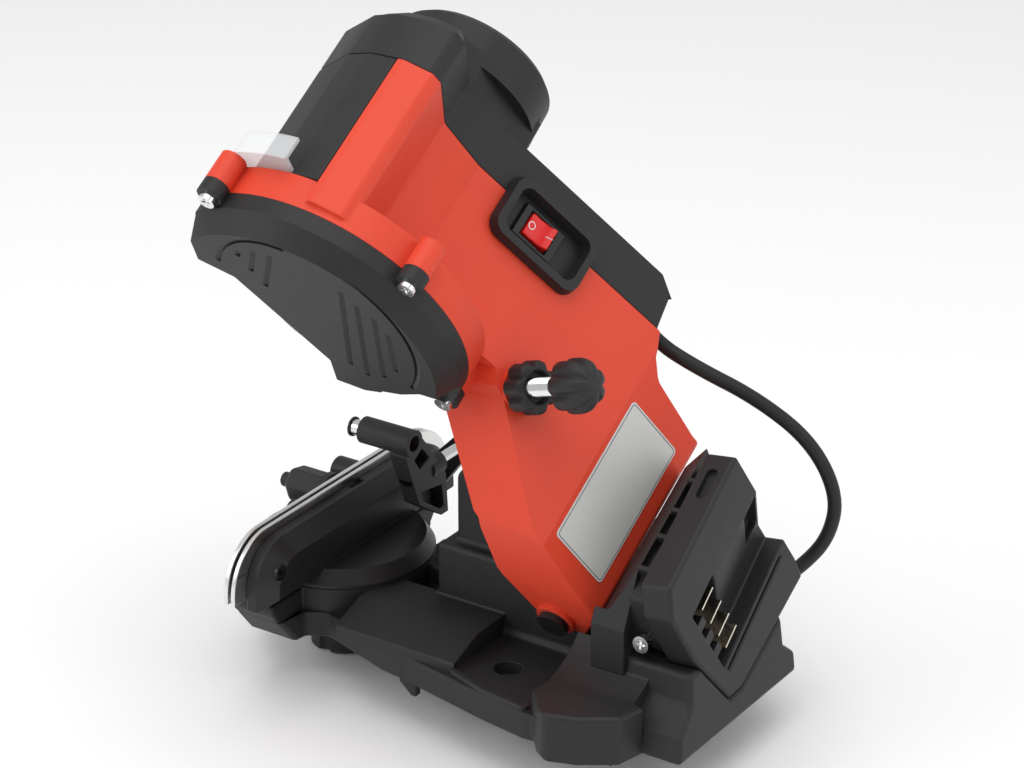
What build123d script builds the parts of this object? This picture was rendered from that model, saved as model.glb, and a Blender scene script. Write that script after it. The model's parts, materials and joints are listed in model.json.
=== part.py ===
"""Chainsaw-chain sharpener: a grinding head on a sprung, tilted hinge above a swivelling chain vise.

All sizes are in millimetres. +X is the operator's right, +Y the rear, +Z up. The origin lies on the
underside of the base, midway between the two bench bolt holes.
The head, the hinge and the battery dock share one tilted frame: u runs along the grinding spindle
towards the motor, v runs up the head, and y is the machine's own Y.
"""
import os
from math import atan2, cos, degrees, radians, sin, tan

from build123d import *

os.makedirs("parts", exist_ok=True)

# ---------------------------------------------------------------- driving dimensions
wall = 2.5                  # general moulding wall
slip = 0.3                  # clearance between bodies that move past each other
run_fit = 0.05              # radial clearance of a shaft in its bore

head_tilt = 32              # spindle above the horizontal
spindle_x = 69.6            # spindle centre in the wheel's plane
spindle_y = -67.2
spindle_z = 166.4

guard_radius = 64           # wheel guard
guard_wall = 2.5
guard_split = 8             # u of the joint between cover and housing
guard_back = 21.4           # u of the guard's rear face
cover_front = -8            # u of the cover's flat face
cover_rim = 0.4             # u where the cover's bevel starts
cover_face_radius = 58
lug_radius = 5.6
screw_radius = 1.9
screw_head_radius = 3.6
screw_head_height = 2.6
screw_length = 16
screw_seat = 1.9            # u of the faces under the screw heads

body_split = 84             # u of the joint between the red housing and the motor cover
front_split = 14.5          # y of the joint between the red housing and the front cover
strip_end = 104.4           # u of the motor cover's side
drum_start = 118
drum_end = 134
drum_radius = 36
drum_bevel = 3

crease_v = -88.4            # crease between the two rear faces of the arm
crease_y = 89.8
upper_lean = 32.2           # rear face above the crease, degrees from the head's v axis
lower_lean = 19.3           # rear face below the crease
arm_foot_v = -129.9
arm_foot_y = 104.3

hinge_v = -139.2            # hinge axis, parallel to the spindle
hinge_y = 81.4
hinge_pin_radius = 4
hinge_boss_radius = 8.5
arm_side = -28              # u of the arm's outer side at the hinge
arm_far_side = 63           # u of the arm's other side at the hinge

motor_radius = 22
motor_start = 26
motor_length = 60
shaft_radius = 4
flange_radius = 20
spigot_radius = 11.5        # fits the bore of a 108 x 23 x 3.2 wheel
wheel_thickness = 3.2

base_bolt_half_spacing = 34.3
base_bolt_radius = 3.6
counterbore_radius = 5.8
pad_height = 12
base_wall = 3
swivel_y = -108             # swivel axis of the vise
boss_radius = 40
boss_height = 22.5
table_radius = 40
table_top_radius = 36
table_height = 7.5
swivel_bolt_radius = 4
swivel_head_flat = 6.5

rail_top = 55
rail_half_length = 78
rail_thickness = 2
rail_gap = 1.6              # chain slot between the rails

cord_radius = 3

# ---------------------------------------------------------------- frames
tilt = radians(head_tilt)
spindle = Vector(spindle_x, spindle_y, spindle_z)
along = Vector(-cos(tilt), 0, sin(tilt))
across = Vector(sin(tilt), 0, cos(tilt))


def head(u=0):
    """Plane square to the spindle; local x is v and local y is the machine's Y."""
    return Plane(origin=spindle + along * u, x_dir=across, z_dir=along)


def facing_rear(y=0):
    """Plane square to Y through the head's frame; local x is u and local y is v."""
    return Plane(origin=spindle + Vector(0, y, 0), x_dir=along, z_dir=(0, 1, 0))


def lean_normal(lean):
    """Outward normal of a rear face that leans by the given angle."""
    return across * sin(radians(lean)) + Vector(0, cos(radians(lean)), 0)


def rear_face(lean, height=0):
    """Plane on a rear face of the arm; local x is u and local y runs up from the crease."""
    normal = lean_normal(lean)
    corner = spindle + across * crease_v + Vector(0, crease_y, 0)
    return Plane(origin=corner + normal * height, x_dir=along, z_dir=normal)


spindle_section = Plane(origin=spindle, x_dir=across, z_dir=(0, -1, 0))     # local x is v, local y is u
spindle_axis = Axis(spindle, along)


def outline(*points):
    """Closed polygon face on the current sketch."""
    Polygon(*points, align=None)


def finish(part, name):
    part.part.label = name
    export_step(part.part, f"parts/{name}.step")


# ---------------------------------------------------------------- head outlines, in (v, y)
guard_cut = [(75, -52), (52, -36), (32, -39), (26, -24), (-18, 4), (-32, 1.5), (-34, 15), (-31, 30),
             (-46, 45), (-60, 59), (-60, 90), (90, 90), (90, -60)]
guard_open = [(75, -52), (54, -34), (36, -60), (-40, -20), (-29.5, 4), (-31.5, 15), (-28.5, 29),
              (-42, 42), (-60, 59), (-60, 90), (90, 90), (90, -60)]

# the cover stops short of the third lug in front of the screw seats
cover_end = [(-60, 24), (-31.2, 24), (-29.5, 34), (-25, 45), (-26, 64), (-60, 90)]
cover_end_inside = [(-60, 21), (-28.7, 21), (-27, 33), (-22.4, 44), (-23.4, 64), (-60, 90)]

block_top = 64
block_profile = [(block_top, 2.5), (block_top, 17.8), (59, 29.6), (54, 31.4), (27.3, 23.2)]
waist_profile = [(3.2, 30.9), (-7.3, 37.6)]
front_profile = [(-51.7, front_split), (-40, 5), (-36, -12), (-20, -32), (0, -38), (25, -38), (45, -30),
                 (60, -10)]
arm_front = [(-112, 61.3), (-84, 59.4), (-55, 37.4)]
arm_rear = [(crease_v, crease_y), (arm_foot_v, arm_foot_y)]
boss_wrap = [(-146.6, 93.5), (hinge_v - hinge_boss_radius, hinge_y), (hinge_v - 4, 73.6)]
body_profile = block_profile + waist_profile + arm_rear + boss_wrap + arm_front + front_profile

# rear view of the housing, in (u, v)
arm_outline = [(guard_back, 80), (guard_back, -40), (15.4, -44.4), (13.1, -48.6), (-21.3, -81.4),
               (-24, crease_v), (arm_side, -116), (arm_side, -160), (arm_far_side, -160),
               (arm_far_side, -126), (67.5, -97), (74, -90), (body_split, -86), (body_split, 80)]

lug_spots = [(-22, 4.5), (57, 5), (133, -2.5)]           # angle from v towards y, distance past the guard


def lug_centre(spot):
    angle, offset_out = spot
    reach = guard_radius + offset_out
    return (reach * cos(radians(angle)), reach * sin(radians(angle)))


# ---------------------------------------------------------------- wheel cover
with BuildPart() as wheel_cover:
    with BuildSketch(spindle_section):
        outline((0, guard_split), (guard_radius, guard_split), (guard_radius, cover_rim),
                (cover_face_radius, cover_front), (0, cover_front))
    revolve(axis=spindle_axis)
    with BuildSketch(head(cover_front - 1)):
        outline(*guard_cut)
    extrude(amount=guard_split - cover_front + 2, mode=Mode.INTERSECT)
    with BuildSketch(head(cover_front - 1)):
        outline(*cover_end)
    extrude(amount=screw_seat - cover_front + 1, mode=Mode.SUBTRACT)
    with BuildSketch(head(screw_seat)):
        for spot in lug_spots:
            with Locations(lug_centre(spot)):
                Circle(lug_radius)
    extrude(amount=guard_split - screw_seat)
    with BuildPart(mode=Mode.PRIVATE) as cover_hollow:
        with BuildSketch(spindle_section):
            outline((0, guard_split), (guard_radius - guard_wall, guard_split),
                    (guard_radius - guard_wall, cover_rim),
                    (cover_face_radius - guard_wall, cover_front + wall), (0, cover_front + wall))
        revolve(axis=spindle_axis)
        with BuildSketch(head(cover_front)):
            outline(*guard_open)
        extrude(amount=guard_split - cover_front, mode=Mode.INTERSECT)
        with BuildSketch(head(cover_front)):
            outline(*cover_end_inside)
        extrude(amount=screw_seat + wall - cover_front, mode=Mode.SUBTRACT)
    add(cover_hollow.part, mode=Mode.SUBTRACT)
    with BuildSketch(head(cover_rim)):
        for spot in lug_spots:
            with Locations(lug_centre(spot)):
                Circle(screw_radius)
    extrude(amount=guard_split - cover_rim, mode=Mode.SUBTRACT)
    with BuildSketch(head(screw_seat)):
        for spot in lug_spots:
            with Locations(lug_centre(spot)):
                Circle(screw_head_radius + slip)
    extrude(amount=cover_front - screw_seat, mode=Mode.SUBTRACT)
finish(wheel_cover, "wheel_cover")

# ---------------------------------------------------------------- cover screws
with BuildPart() as cover_screws:
    for spot in lug_spots:
        with Locations(head(screw_seat)):
            with Locations(lug_centre(spot)):
                with Locations((0, 0, -screw_head_height / 2)):
                    Cylinder(screw_head_radius, screw_head_height)
                with Locations((0, 0, screw_length / 2)):
                    Cylinder(screw_radius - run_fit, screw_length)
                with Locations((0, 0, -screw_head_height)):
                    Box(4.2, 1, 1.6, mode=Mode.SUBTRACT)
                    Box(1, 4.2, 1.6, mode=Mode.SUBTRACT)
finish(cover_screws, "cover_screws")

# ---------------------------------------------------------------- red housing
ring_floor = guard_back - wall
front_opening = [(-60, 30), (-160, 30), (-160, 95), (-140, 95), (-128, 80), (-84, 66), (-64, 51)]
stop_passage = [(-44.5, 5), (-44.5, 28.5), (-64, 28.5), (-64, 5)]
stop_passage_end = 19
block_foot = 11                                            # u where the raised block starts on the guard
depth_screw_u = 21.2
depth_screw_rise = 44.2                                    # above the crease, along the rear face
depth_screw_lean = 24
insert_radius = 6
insert_length = 12
boss_proud = 2

stop_root = rear_face(upper_lean).from_local_coords(Vector(depth_screw_u, depth_screw_rise, 0))


def depth_plane(height=0):
    """Plane square to the depth screw, measured outwards from the rear face."""
    direction = lean_normal(depth_screw_lean)
    return Plane(origin=stop_root + direction * height, x_dir=along, z_dir=direction)


with BuildPart() as red_housing:
    with BuildSketch(head(arm_side)):
        outline(*body_profile)
    extrude(amount=body_split - arm_side)
    with BuildSketch(facing_rear(-60)):
        outline(*arm_outline)
    extrude(amount=200, mode=Mode.INTERSECT)
    with BuildPart(mode=Mode.PRIVATE) as housing_hollow:
        with BuildSketch(head(arm_side)):
            outline(*body_profile)
            offset(amount=-wall, kind=Kind.INTERSECTION)
            outline(*front_opening)
        extrude(amount=body_split - arm_side)
        with BuildSketch(facing_rear(-60)):
            outline(*arm_outline)
            offset(amount=-wall, kind=Kind.INTERSECTION)
            with Locations((body_split - wall, 0)):
                Rectangle(4 * wall, 2 * (wall - crease_v - 8))
        extrude(amount=200, mode=Mode.INTERSECT)
    add(housing_hollow.part, mode=Mode.SUBTRACT)
    with BuildSketch(head(guard_back)):
        outline((-51.7, front_split), (100, front_split), (100, -80), (-51.7, -80))
    extrude(amount=body_split - guard_back, mode=Mode.SUBTRACT)
    # wheel guard ring, open towards the chain
    with BuildSketch(head(guard_split)):
        Circle(guard_radius)
        with BuildSketch(mode=Mode.PRIVATE) as ring_trim:
            outline(*guard_cut)
        add(ring_trim.sketch, mode=Mode.INTERSECT)
        for spot in lug_spots:
            with Locations(lug_centre(spot)):
                Circle(lug_radius)
    extrude(amount=guard_back - guard_split)
    with BuildSketch(head(block_foot)):
        outline((block_top, front_split), (block_top, 17.8), (59, 29.6), (54, 31.4), (48, 28),
                (56, front_split))
    extrude(amount=guard_back - block_foot)
    with BuildSketch(head(guard_split)):
        Circle(guard_radius - guard_wall)
        with BuildSketch(mode=Mode.PRIVATE) as pocket_trim:
            outline(*guard_open)
        add(pocket_trim.sketch, mode=Mode.INTERSECT)
    extrude(amount=ring_floor - guard_split, mode=Mode.SUBTRACT)
    with BuildSketch(head(guard_split)):
        Circle(14)
    extrude(amount=guard_back - guard_split + 4 * wall, mode=Mode.SUBTRACT)
    with BuildSketch(head(guard_split)):
        for spot in lug_spots:
            with Locations(lug_centre(spot)):
                Circle(screw_radius)
    extrude(amount=screw_length, mode=Mode.SUBTRACT)
    # corner cut back where the chain stop passes with the head down and the vise turned
    with BuildSketch(head(arm_side)):
        outline(*stop_passage)
    extrude(amount=stop_passage_end - arm_side, mode=Mode.SUBTRACT)
    # hinge bosses
    with BuildSketch(head(arm_side - boss_proud)):
        with Locations((hinge_v, hinge_y)):
            Circle(hinge_boss_radius)
    extrude(amount=boss_proud + wall)
    with BuildSketch(head(arm_far_side - wall)):
        with Locations((hinge_v, hinge_y)):
            Circle(hinge_boss_radius)
    extrude(amount=boss_proud + wall)
    with BuildSketch(head(arm_side - 2 * boss_proud)):
        with Locations((hinge_v, hinge_y)):
            Circle(hinge_pin_radius + run_fit)
    extrude(amount=arm_far_side - arm_side + 4 * boss_proud, mode=Mode.SUBTRACT)
    # boss for the depth screw's insert
    with BuildSketch(depth_plane(0.5)):
        Circle(insert_radius + wall)
    extrude(amount=-insert_length)
    with BuildSketch(depth_plane(0.5)):
        Circle(insert_radius)
    extrude(amount=-insert_length, mode=Mode.SUBTRACT)
finish(red_housing, "red_housing")

# ---------------------------------------------------------------- front cover and motor cover
def block_fit(front):
    """Section of the head round the motor, in (v, y)."""
    return block_profile + [(3.2, 30.9), (-12, 36), (-30, 26), (-38, 8)] + front


motor_front = [(-36, -12), (-20, -32), (0, -38), (25, -38), (45, -30), (60, -10)]
waist_section = [(27.3, 23.2), (3.2, 30.9), (-12, 35), (-28, 24), (-37, 4), (-33, -16), (-18, -32), (2, -37),
                 (20, -31), (32, -17), (37, 2), (35, 15)]

front_section = [(-51.7, front_split), (block_top, front_split), (block_top, 2.5),
                 *reversed(front_profile[1:])]

with BuildPart() as front_cover:
    with BuildSketch(head(guard_back)):
        outline(*front_section)
    extrude(amount=body_split - guard_back)
    with BuildSketch(head(guard_back + wall)):
        outline(*front_section)
        offset(amount=-wall, kind=Kind.INTERSECTION)
        with Locations((6, front_split)):
            Rectangle(2 * (block_top - 6 - wall), 4 * wall)
    extrude(amount=body_split - guard_back - wall, mode=Mode.SUBTRACT)
    with BuildSketch(head(guard_back)):
        Circle(14)
    extrude(amount=2 * wall, mode=Mode.SUBTRACT)
finish(front_cover, "front_cover")

strip_outline = [(body_split, 90), (strip_end, 90), (strip_end, -75.7), (98.5, -83.5), (body_split, -85.4)]
strip_profile = block_profile + waist_profile + arm_rear[:1] + [(-92, 60), (-68, 27.8)] + front_profile
bevel = 6

with BuildPart() as motor_cover:
    with BuildSketch(head(body_split)):
        outline(*strip_profile)
    extrude(amount=strip_end - body_split)
    with BuildSketch(facing_rear(-60)):
        outline(*strip_outline)
    extrude(amount=200, mode=Mode.INTERSECT)
    with BuildSketch(head(strip_end - 0.5)):
        outline(*block_fit(motor_front))
    extrude(amount=bevel, taper=40)
    with BuildSketch(head(body_split + wall)):
        outline(*waist_section)
    extrude(amount=drum_start + 2 - body_split - wall)
    with BuildSketch(spindle_section):
        outline((0, drum_start - 4), (drum_radius, drum_start - 4),
                (drum_radius - 0.7, drum_end - drum_bevel), (drum_radius - 0.7 - drum_bevel, drum_end),
                (0, drum_end))
    revolve(axis=spindle_axis)
    with BuildPart(mode=Mode.PRIVATE) as cover_cavity:
        with BuildSketch(head(body_split)):
            outline(*strip_profile)
            offset(amount=-wall, kind=Kind.INTERSECTION)
        extrude(amount=strip_end - body_split - wall)
        with BuildSketch(facing_rear(-60)):
            outline((0, 90), *strip_outline[1:4], (0, -85.4))
            offset(amount=-wall, kind=Kind.INTERSECTION)
        extrude(amount=200, mode=Mode.INTERSECT)
        with BuildSketch(head(body_split)):
            Circle(28)
        extrude(amount=drum_end - body_split - 2 * wall)
    add(cover_cavity.part, mode=Mode.SUBTRACT)
    # cooling slots in the end face
    with BuildSketch(head(drum_end - 3 * wall)):
        with PolarLocations(17, 12):
            SlotOverall(14, 2.6)
    extrude(amount=4 * wall, mode=Mode.SUBTRACT)
finish(motor_cover, "motor_cover")

# ---------------------------------------------------------------- clear spark visor
visor_inner = 55
visor_outer = 72.5
with BuildPart() as spark_visor:
    with BuildSketch(head(guard_back)):
        Circle(visor_outer)
        Circle(visor_inner, mode=Mode.SUBTRACT)
        with BuildSketch(mode=Mode.PRIVATE) as visor_sector:
            outline((0, 0), (100, -36), (100, 3))
        add(visor_sector.sketch, mode=Mode.INTERSECT)
    extrude(amount=1.8)
    with BuildSketch(head(guard_back + 1.8)):
        Circle(visor_outer)
        Circle(visor_outer - 1.8, mode=Mode.SUBTRACT)
        with BuildSketch(mode=Mode.PRIVATE) as lip_sector:
            outline((0, 0), (100, -36), (100, 3))
        add(lip_sector.sketch, mode=Mode.INTERSECT)
    extrude(amount=9)
finish(spark_visor, "spark_visor")
with front_cover:
    add(spark_visor.part, mode=Mode.SUBTRACT)
finish(front_cover, "front_cover")

# ---------------------------------------------------------------- motor and arbor
bearing_radius = 9.5
bearing_length = 6
flange_hub = 5
shaft_tip = -4.8

with BuildPart() as motor_can:
    with BuildSketch(head(motor_start)):
        Circle(motor_radius)
        Circle(motor_radius - 1.5, mode=Mode.SUBTRACT)
    extrude(amount=motor_length)
    for end in (motor_start, motor_start + motor_length - 2):
        with BuildSketch(head(end)):
            Circle(motor_radius)
            Circle(bearing_radius, mode=Mode.SUBTRACT)
        extrude(amount=2)
    with BuildSketch(head(guard_back)):
        Circle(bearing_radius + wall)
        Circle(bearing_radius, mode=Mode.SUBTRACT)
    extrude(amount=motor_start - guard_back)
finish(motor_can, "motor_can")

with BuildPart() as motor_bearings:
    for start in (guard_back, motor_start + motor_length - bearing_length):
        with BuildSketch(head(start)):
            Circle(bearing_radius)
            Circle(shaft_radius + run_fit, mode=Mode.SUBTRACT)
        extrude(amount=bearing_length)
finish(motor_bearings, "motor_bearings")

armature_radius = 17
armature_gap = 8            # between the can's front and the armature's core
commutator_length = 8
armature_length = motor_length - bearing_length - armature_gap - commutator_length - 2
with BuildPart() as armature:
    with BuildSketch(head(shaft_tip)):
        Circle(shaft_radius)
    extrude(amount=motor_start + motor_length + 8 - shaft_tip)
    with BuildSketch(head(motor_start + armature_gap)):
        Circle(armature_radius)
        with PolarLocations(armature_radius, 12):
            Rectangle(8, 2, mode=Mode.SUBTRACT)
    extrude(amount=armature_length)
    with BuildSketch(head(motor_start + armature_gap + armature_length)):
        Circle(2 * shaft_radius)
    extrude(amount=commutator_length)
finish(armature, "armature")

fan_start = motor_start + motor_length + 1
with BuildPart() as cooling_fan:
    with BuildSketch(head(fan_start)):
        Circle(20)
        Circle(shaft_radius, mode=Mode.SUBTRACT)
    extrude(amount=1.5)
    with BuildSketch(head(fan_start + 1.5)):
        with PolarLocations(13, 12):
            Rectangle(12, 1.2)
        Circle(shaft_radius + 2)
        Circle(shaft_radius, mode=Mode.SUBTRACT)
    extrude(amount=5)
finish(cooling_fan, "cooling_fan")

with BuildPart() as inner_flange:
    with BuildSketch(head(wheel_thickness / 2)):
        Circle(flange_radius)
        Circle(shaft_radius, mode=Mode.SUBTRACT)
    extrude(amount=flange_hub)
    with BuildSketch(head(-wheel_thickness / 2)):
        Circle(spigot_radius)
        Circle(shaft_radius, mode=Mode.SUBTRACT)
    extrude(amount=wheel_thickness)
finish(inner_flange, "inner_flange")

outer_flange_thickness = 1.5
with BuildPart() as outer_flange:
    with BuildSketch(head(-wheel_thickness / 2)):
        Circle(flange_radius - 3)
        Circle(shaft_radius, mode=Mode.SUBTRACT)
    extrude(amount=-outer_flange_thickness)
finish(outer_flange, "outer_flange")

with BuildPart() as arbor_nut:
    with BuildSketch(head(-wheel_thickness / 2 - outer_flange_thickness)):
        RegularPolygon(6.5, 6, major_radius=False)
        Circle(shaft_radius, mode=Mode.SUBTRACT)
    extrude(amount=-1.4)
finish(arbor_nut, "arbor_nut")

# ---------------------------------------------------------------- switch
bezel_u = 79.4
bezel_rise = 70
bezel_width = 30
bezel_height = 48
bezel_proud = 4.5
bezel_floor = -2.5
frame_width = 15
frame_height = 21
rocker_width = 11
rocker_height = 13.5

with BuildPart() as switch_bezel:
    with BuildSketch(rear_face(upper_lean)):
        with Locations((bezel_u, bezel_rise)):
            RectangleRounded(bezel_width, bezel_height, 7)
    extrude(amount=bezel_proud, taper=14)
    with BuildSketch(rear_face(upper_lean, -6)):
        with Locations((bezel_u, bezel_rise)):
            RectangleRounded(bezel_width - 7, bezel_height - 7, 5)
    extrude(amount=6)
    with BuildSketch(rear_face(upper_lean, bezel_floor)):
        with Locations((bezel_u, bezel_rise)):
            RectangleRounded(bezel_width - 10.5, bezel_height - 10.5, 4)
    extrude(amount=bezel_proud - bezel_floor, taper=-6, mode=Mode.SUBTRACT)
    with BuildSketch(rear_face(upper_lean, -7)):
        with Locations((bezel_u, bezel_rise + 2)):
            Rectangle(frame_width - 2, frame_height - 2)
    extrude(amount=7, mode=Mode.SUBTRACT)
finish(switch_bezel, "switch_bezel")

# pocket for the bezel in both housings
for housing, name in ((red_housing, "red_housing"), (motor_cover, "motor_cover")):
    with housing:
        with BuildSketch(rear_face(upper_lean, -6.5)):
            with Locations((bezel_u, bezel_rise)):
                RectangleRounded(bezel_width - 7, bezel_height - 7, 5)
        extrude(amount=7, mode=Mode.SUBTRACT)
    finish(housing, name)

with BuildPart() as switch_frame:
    with BuildSketch(rear_face(upper_lean, bezel_floor)):
        with Locations((bezel_u, bezel_rise + 2)):
            Rectangle(frame_width, frame_height)
            Rectangle(rocker_width + 2 * slip, rocker_height + 2 * slip, mode=Mode.SUBTRACT)
    extrude(amount=2)
    with BuildSketch(rear_face(upper_lean, bezel_floor - 16)):
        with Locations((bezel_u, bezel_rise + 2)):
            Rectangle(frame_width - 2.4, frame_height - 2.4)
    extrude(amount=16)
    with BuildSketch(rear_face(upper_lean, bezel_floor - 5)):
        with Locations((bezel_u, bezel_rise + 2)):
            Rectangle(rocker_width + 2 * slip, rocker_height + 2 * slip)
    extrude(amount=8, mode=Mode.SUBTRACT)
finish(switch_frame, "switch_frame")

rocker_pivot = rear_face(upper_lean, bezel_floor - 0.5).from_local_coords(Vector(bezel_u, bezel_rise + 2, 0))
with BuildPart() as rocker:
    with BuildSketch(Plane(origin=rocker_pivot + along * (-rocker_width / 2 + slip),
                           x_dir=rear_face(upper_lean).y_dir, z_dir=along)):
        half = rocker_height / 2 - slip
        outline((half, -2.6), (-half, -2.6), (-half, 1), (1 - half, 6), (-0.4 * half, 3.9),
                (0.4 * half, 3.2), (half, 3.4))
    extrude(amount=rocker_width - 2 * slip)
finish(rocker, "rocker")

# ---------------------------------------------------------------- depth screw
screw_metric = 4
with BuildPart() as screw_insert:
    with BuildSketch(depth_plane(0.5)):
        Circle(insert_radius)
        Circle(screw_metric + run_fit, mode=Mode.SUBTRACT)
    extrude(amount=-insert_length)
finish(screw_insert, "screw_insert")

depth_screw_inner = 15
lobe_count = 7
knob_reach = 11
nut_height = 9
knob_start = 28
knob_height = 18
with BuildPart() as depth_screw:
    with BuildSketch(depth_plane(-depth_screw_inner)):
        Circle(screw_metric)
    extrude(amount=depth_screw_inner + knob_start + 6)
finish(depth_screw, "depth_screw")


def lobed(radius, count, bite):
    """Round knob section with finger notches."""
    Circle(radius)
    with PolarLocations(radius + 0.45 * bite, count):
        Circle(bite, mode=Mode.SUBTRACT)


with BuildPart() as lock_nut:
    with BuildSketch(depth_plane(2)):
        lobed(knob_reach, lobe_count, 2.4)
    extrude(amount=nut_height)
    with BuildSketch(depth_plane(0.8)):
        Circle(7)
    extrude(amount=nut_height + 3)
    with BuildSketch(depth_plane(0)):
        Circle(screw_metric + run_fit)
    extrude(amount=nut_height + 6, mode=Mode.SUBTRACT)
finish(lock_nut, "lock_nut")

with BuildPart() as depth_knob:
    with BuildSketch(depth_plane(knob_start)):
        lobed(knob_reach, lobe_count, 2.4)
    extrude(amount=knob_height * 0.6)
    with BuildSketch(Plane(origin=depth_plane(knob_start + knob_height * 0.6).origin, x_dir=along,
                           z_dir=lean_normal(depth_screw_lean).cross(along))):
        with BuildLine():
            Line((0, 0), (9.6, 0))
            side = JernArc(start=(9.6, 0), tangent=(0, 1), radius=6.5, arc_size=90)
            Polyline(side @ 1, (0, 6.5), (0, 0))
        make_face()
    revolve(axis=Axis(depth_plane().origin, lean_normal(depth_screw_lean)))
    with BuildSketch(depth_plane(knob_start)):
        Circle(screw_metric + run_fit)
    extrude(amount=6, mode=Mode.SUBTRACT)
finish(depth_knob, "depth_knob")

# ---------------------------------------------------------------- rating plate, left blank
plate_left = -16.6
plate_right = 52
plate_top = -2.4
plate_drop = 33
with BuildPart() as rating_plate:
    with BuildSketch(rear_face(lower_lean)):
        with Locations(((plate_left + plate_right) / 2, plate_top - plate_drop / 2)):
            RectangleRounded(plate_right - plate_left, plate_drop, 2)
    extrude(amount=0.4)
finish(rating_plate, "rating_plate")

# ---------------------------------------------------------------- hinge post, pin and return spring
spring_room = 14
knuckle_radius = 10.5
knuckle_start = arm_side + wall + slip
knuckle_end = arm_far_side - wall - slip - spring_room
post_front = 3.4                                           # world Y of the post's faces
post_back = 22.7
post_relief = 10                                           # how far the post hugs the arm before it drops
low_tier_height = 24

hinge_axis_point = head().from_local_coords(Vector(hinge_v, hinge_y, 0))


def on_hinge(u):
    return hinge_axis_point + along * u


def front_view(y):
    """Plane square to Y at the given Y; local x is X and local y is Z."""
    return Plane.XZ.offset(-y)


knuckle_near = on_hinge(knuckle_start)
knuckle_far = on_hinge(knuckle_end)
post_corner = knuckle_near - across * post_relief

with BuildPart() as hinge_post:
    with BuildSketch(front_view(post_front)):
        outline((knuckle_far.X, low_tier_height), (knuckle_far.X, knuckle_far.Z),
                (knuckle_near.X, knuckle_near.Z), (post_corner.X, post_corner.Z),
                (post_corner.X, low_tier_height))
    extrude(amount=post_front - post_back)
    with BuildSketch(head(knuckle_start)):
        with Locations((hinge_v, hinge_y)):
            Circle(knuckle_radius)
    extrude(amount=knuckle_end - knuckle_start)
    with BuildSketch(head(knuckle_start - 1)):
        with Locations((hinge_v, hinge_y)):
            Circle(hinge_pin_radius + run_fit)
    extrude(amount=knuckle_end - knuckle_start + 2, mode=Mode.SUBTRACT)

pin_head = 3
clip_thickness = 1
with BuildPart() as hinge_pin:
    with BuildSketch(head(arm_side - boss_proud)):
        with Locations((hinge_v, hinge_y)):
            Circle(hinge_pin_radius)
    extrude(amount=arm_far_side - arm_side + 2 * boss_proud + clip_thickness + 1)
    with BuildSketch(head(arm_side - boss_proud)):
        with Locations((hinge_v, hinge_y)):
            Circle(hinge_pin_radius + 2.6)
    extrude(amount=-pin_head)
finish(hinge_pin, "hinge_pin")

with BuildPart() as pin_clip:
    with BuildSketch(head(arm_far_side + boss_proud)):
        with Locations((hinge_v, hinge_y)):
            Circle(hinge_pin_radius + 2.5)
            Circle(hinge_pin_radius, mode=Mode.SUBTRACT)
    extrude(amount=clip_thickness)
finish(pin_clip, "pin_clip")

spring_wire = 1.2
spring_radius = hinge_pin_radius + spring_wire + slip
spring_pitch = 2.9
spring_start = knuckle_end + spring_wire + slip
with BuildPart() as return_spring:
    with BuildLine() as coil:
        Helix(pitch=spring_pitch, height=spring_room - 2 * (spring_wire + slip), radius=spring_radius,
              center=on_hinge(spring_start), direction=along)
    with BuildSketch(Plane(origin=coil.line @ 0, z_dir=coil.line % 0)):
        Circle(spring_wire)
    sweep(is_frenet=True)
finish(return_spring, "return_spring")

# ---------------------------------------------------------------- base
footprint = [(60, -122), (60, -101), (41, -98), (36.5, -90), (48, -53.5), (50, -36.5), (58, 3), (61.3, 24.5),
             (60, 40), (55, 65), (45, 68)]
hollow_footprint = [(44, -118), (44, -104), (34, -98), (33, -88), (44, -52), (46.5, -36), (54.5, 3.5),
                    (57, 26), (56, 40), (50, 60), (41, 62)]
block_side = [(44, 27), (58, 27), (68.4, 36), (71.4, 41), (67, 54), (57.7, 68), (45, 71), (40, 60)]
block_height = 21
block_front = 27                                           # Y of the corner blocks
tower_back = post_front
bar_front = -122
bar_back = -101
bar_height = 21.5
ledge_height = 16
lower_tier_height = 45.7
upper_tier_height = 76
dock_lean = 8                                              # the dock's rear face leans forward
dock_foot_y = 89.5                                         # where that face meets the bench
foot_front = 55


def both_sides(points):
    """Mirror a right-hand outline to a closed one."""
    return points + [(-x, y) for x, y in reversed(points)]


dock_inward = Vector(0, -cos(radians(dock_lean)), -sin(radians(dock_lean)))


def dock_face(depth=0):
    """Plane on the dock's leaning rear face, looking inwards; local x is X and local y runs up the face."""
    return Plane(origin=Vector(0, dock_foot_y, 0) + dock_inward * depth, x_dir=(1, 0, 0), z_dir=dock_inward)


def slanted(a, b):
    """Point of the dock's face: a runs with the spindle, b runs up the head."""
    return (a * along.X + b * across.X, a * along.Z + b * across.Z)


tray_corners = [(2, 12), (11, 7.5), (71.4, 0.4), (73, 11), (73, 82), (6, 84), (-1.5, 73), (-3, 46)]
tray_outline = [slanted(a, b) for a, b in tray_corners]
tray_depth = 14

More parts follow.
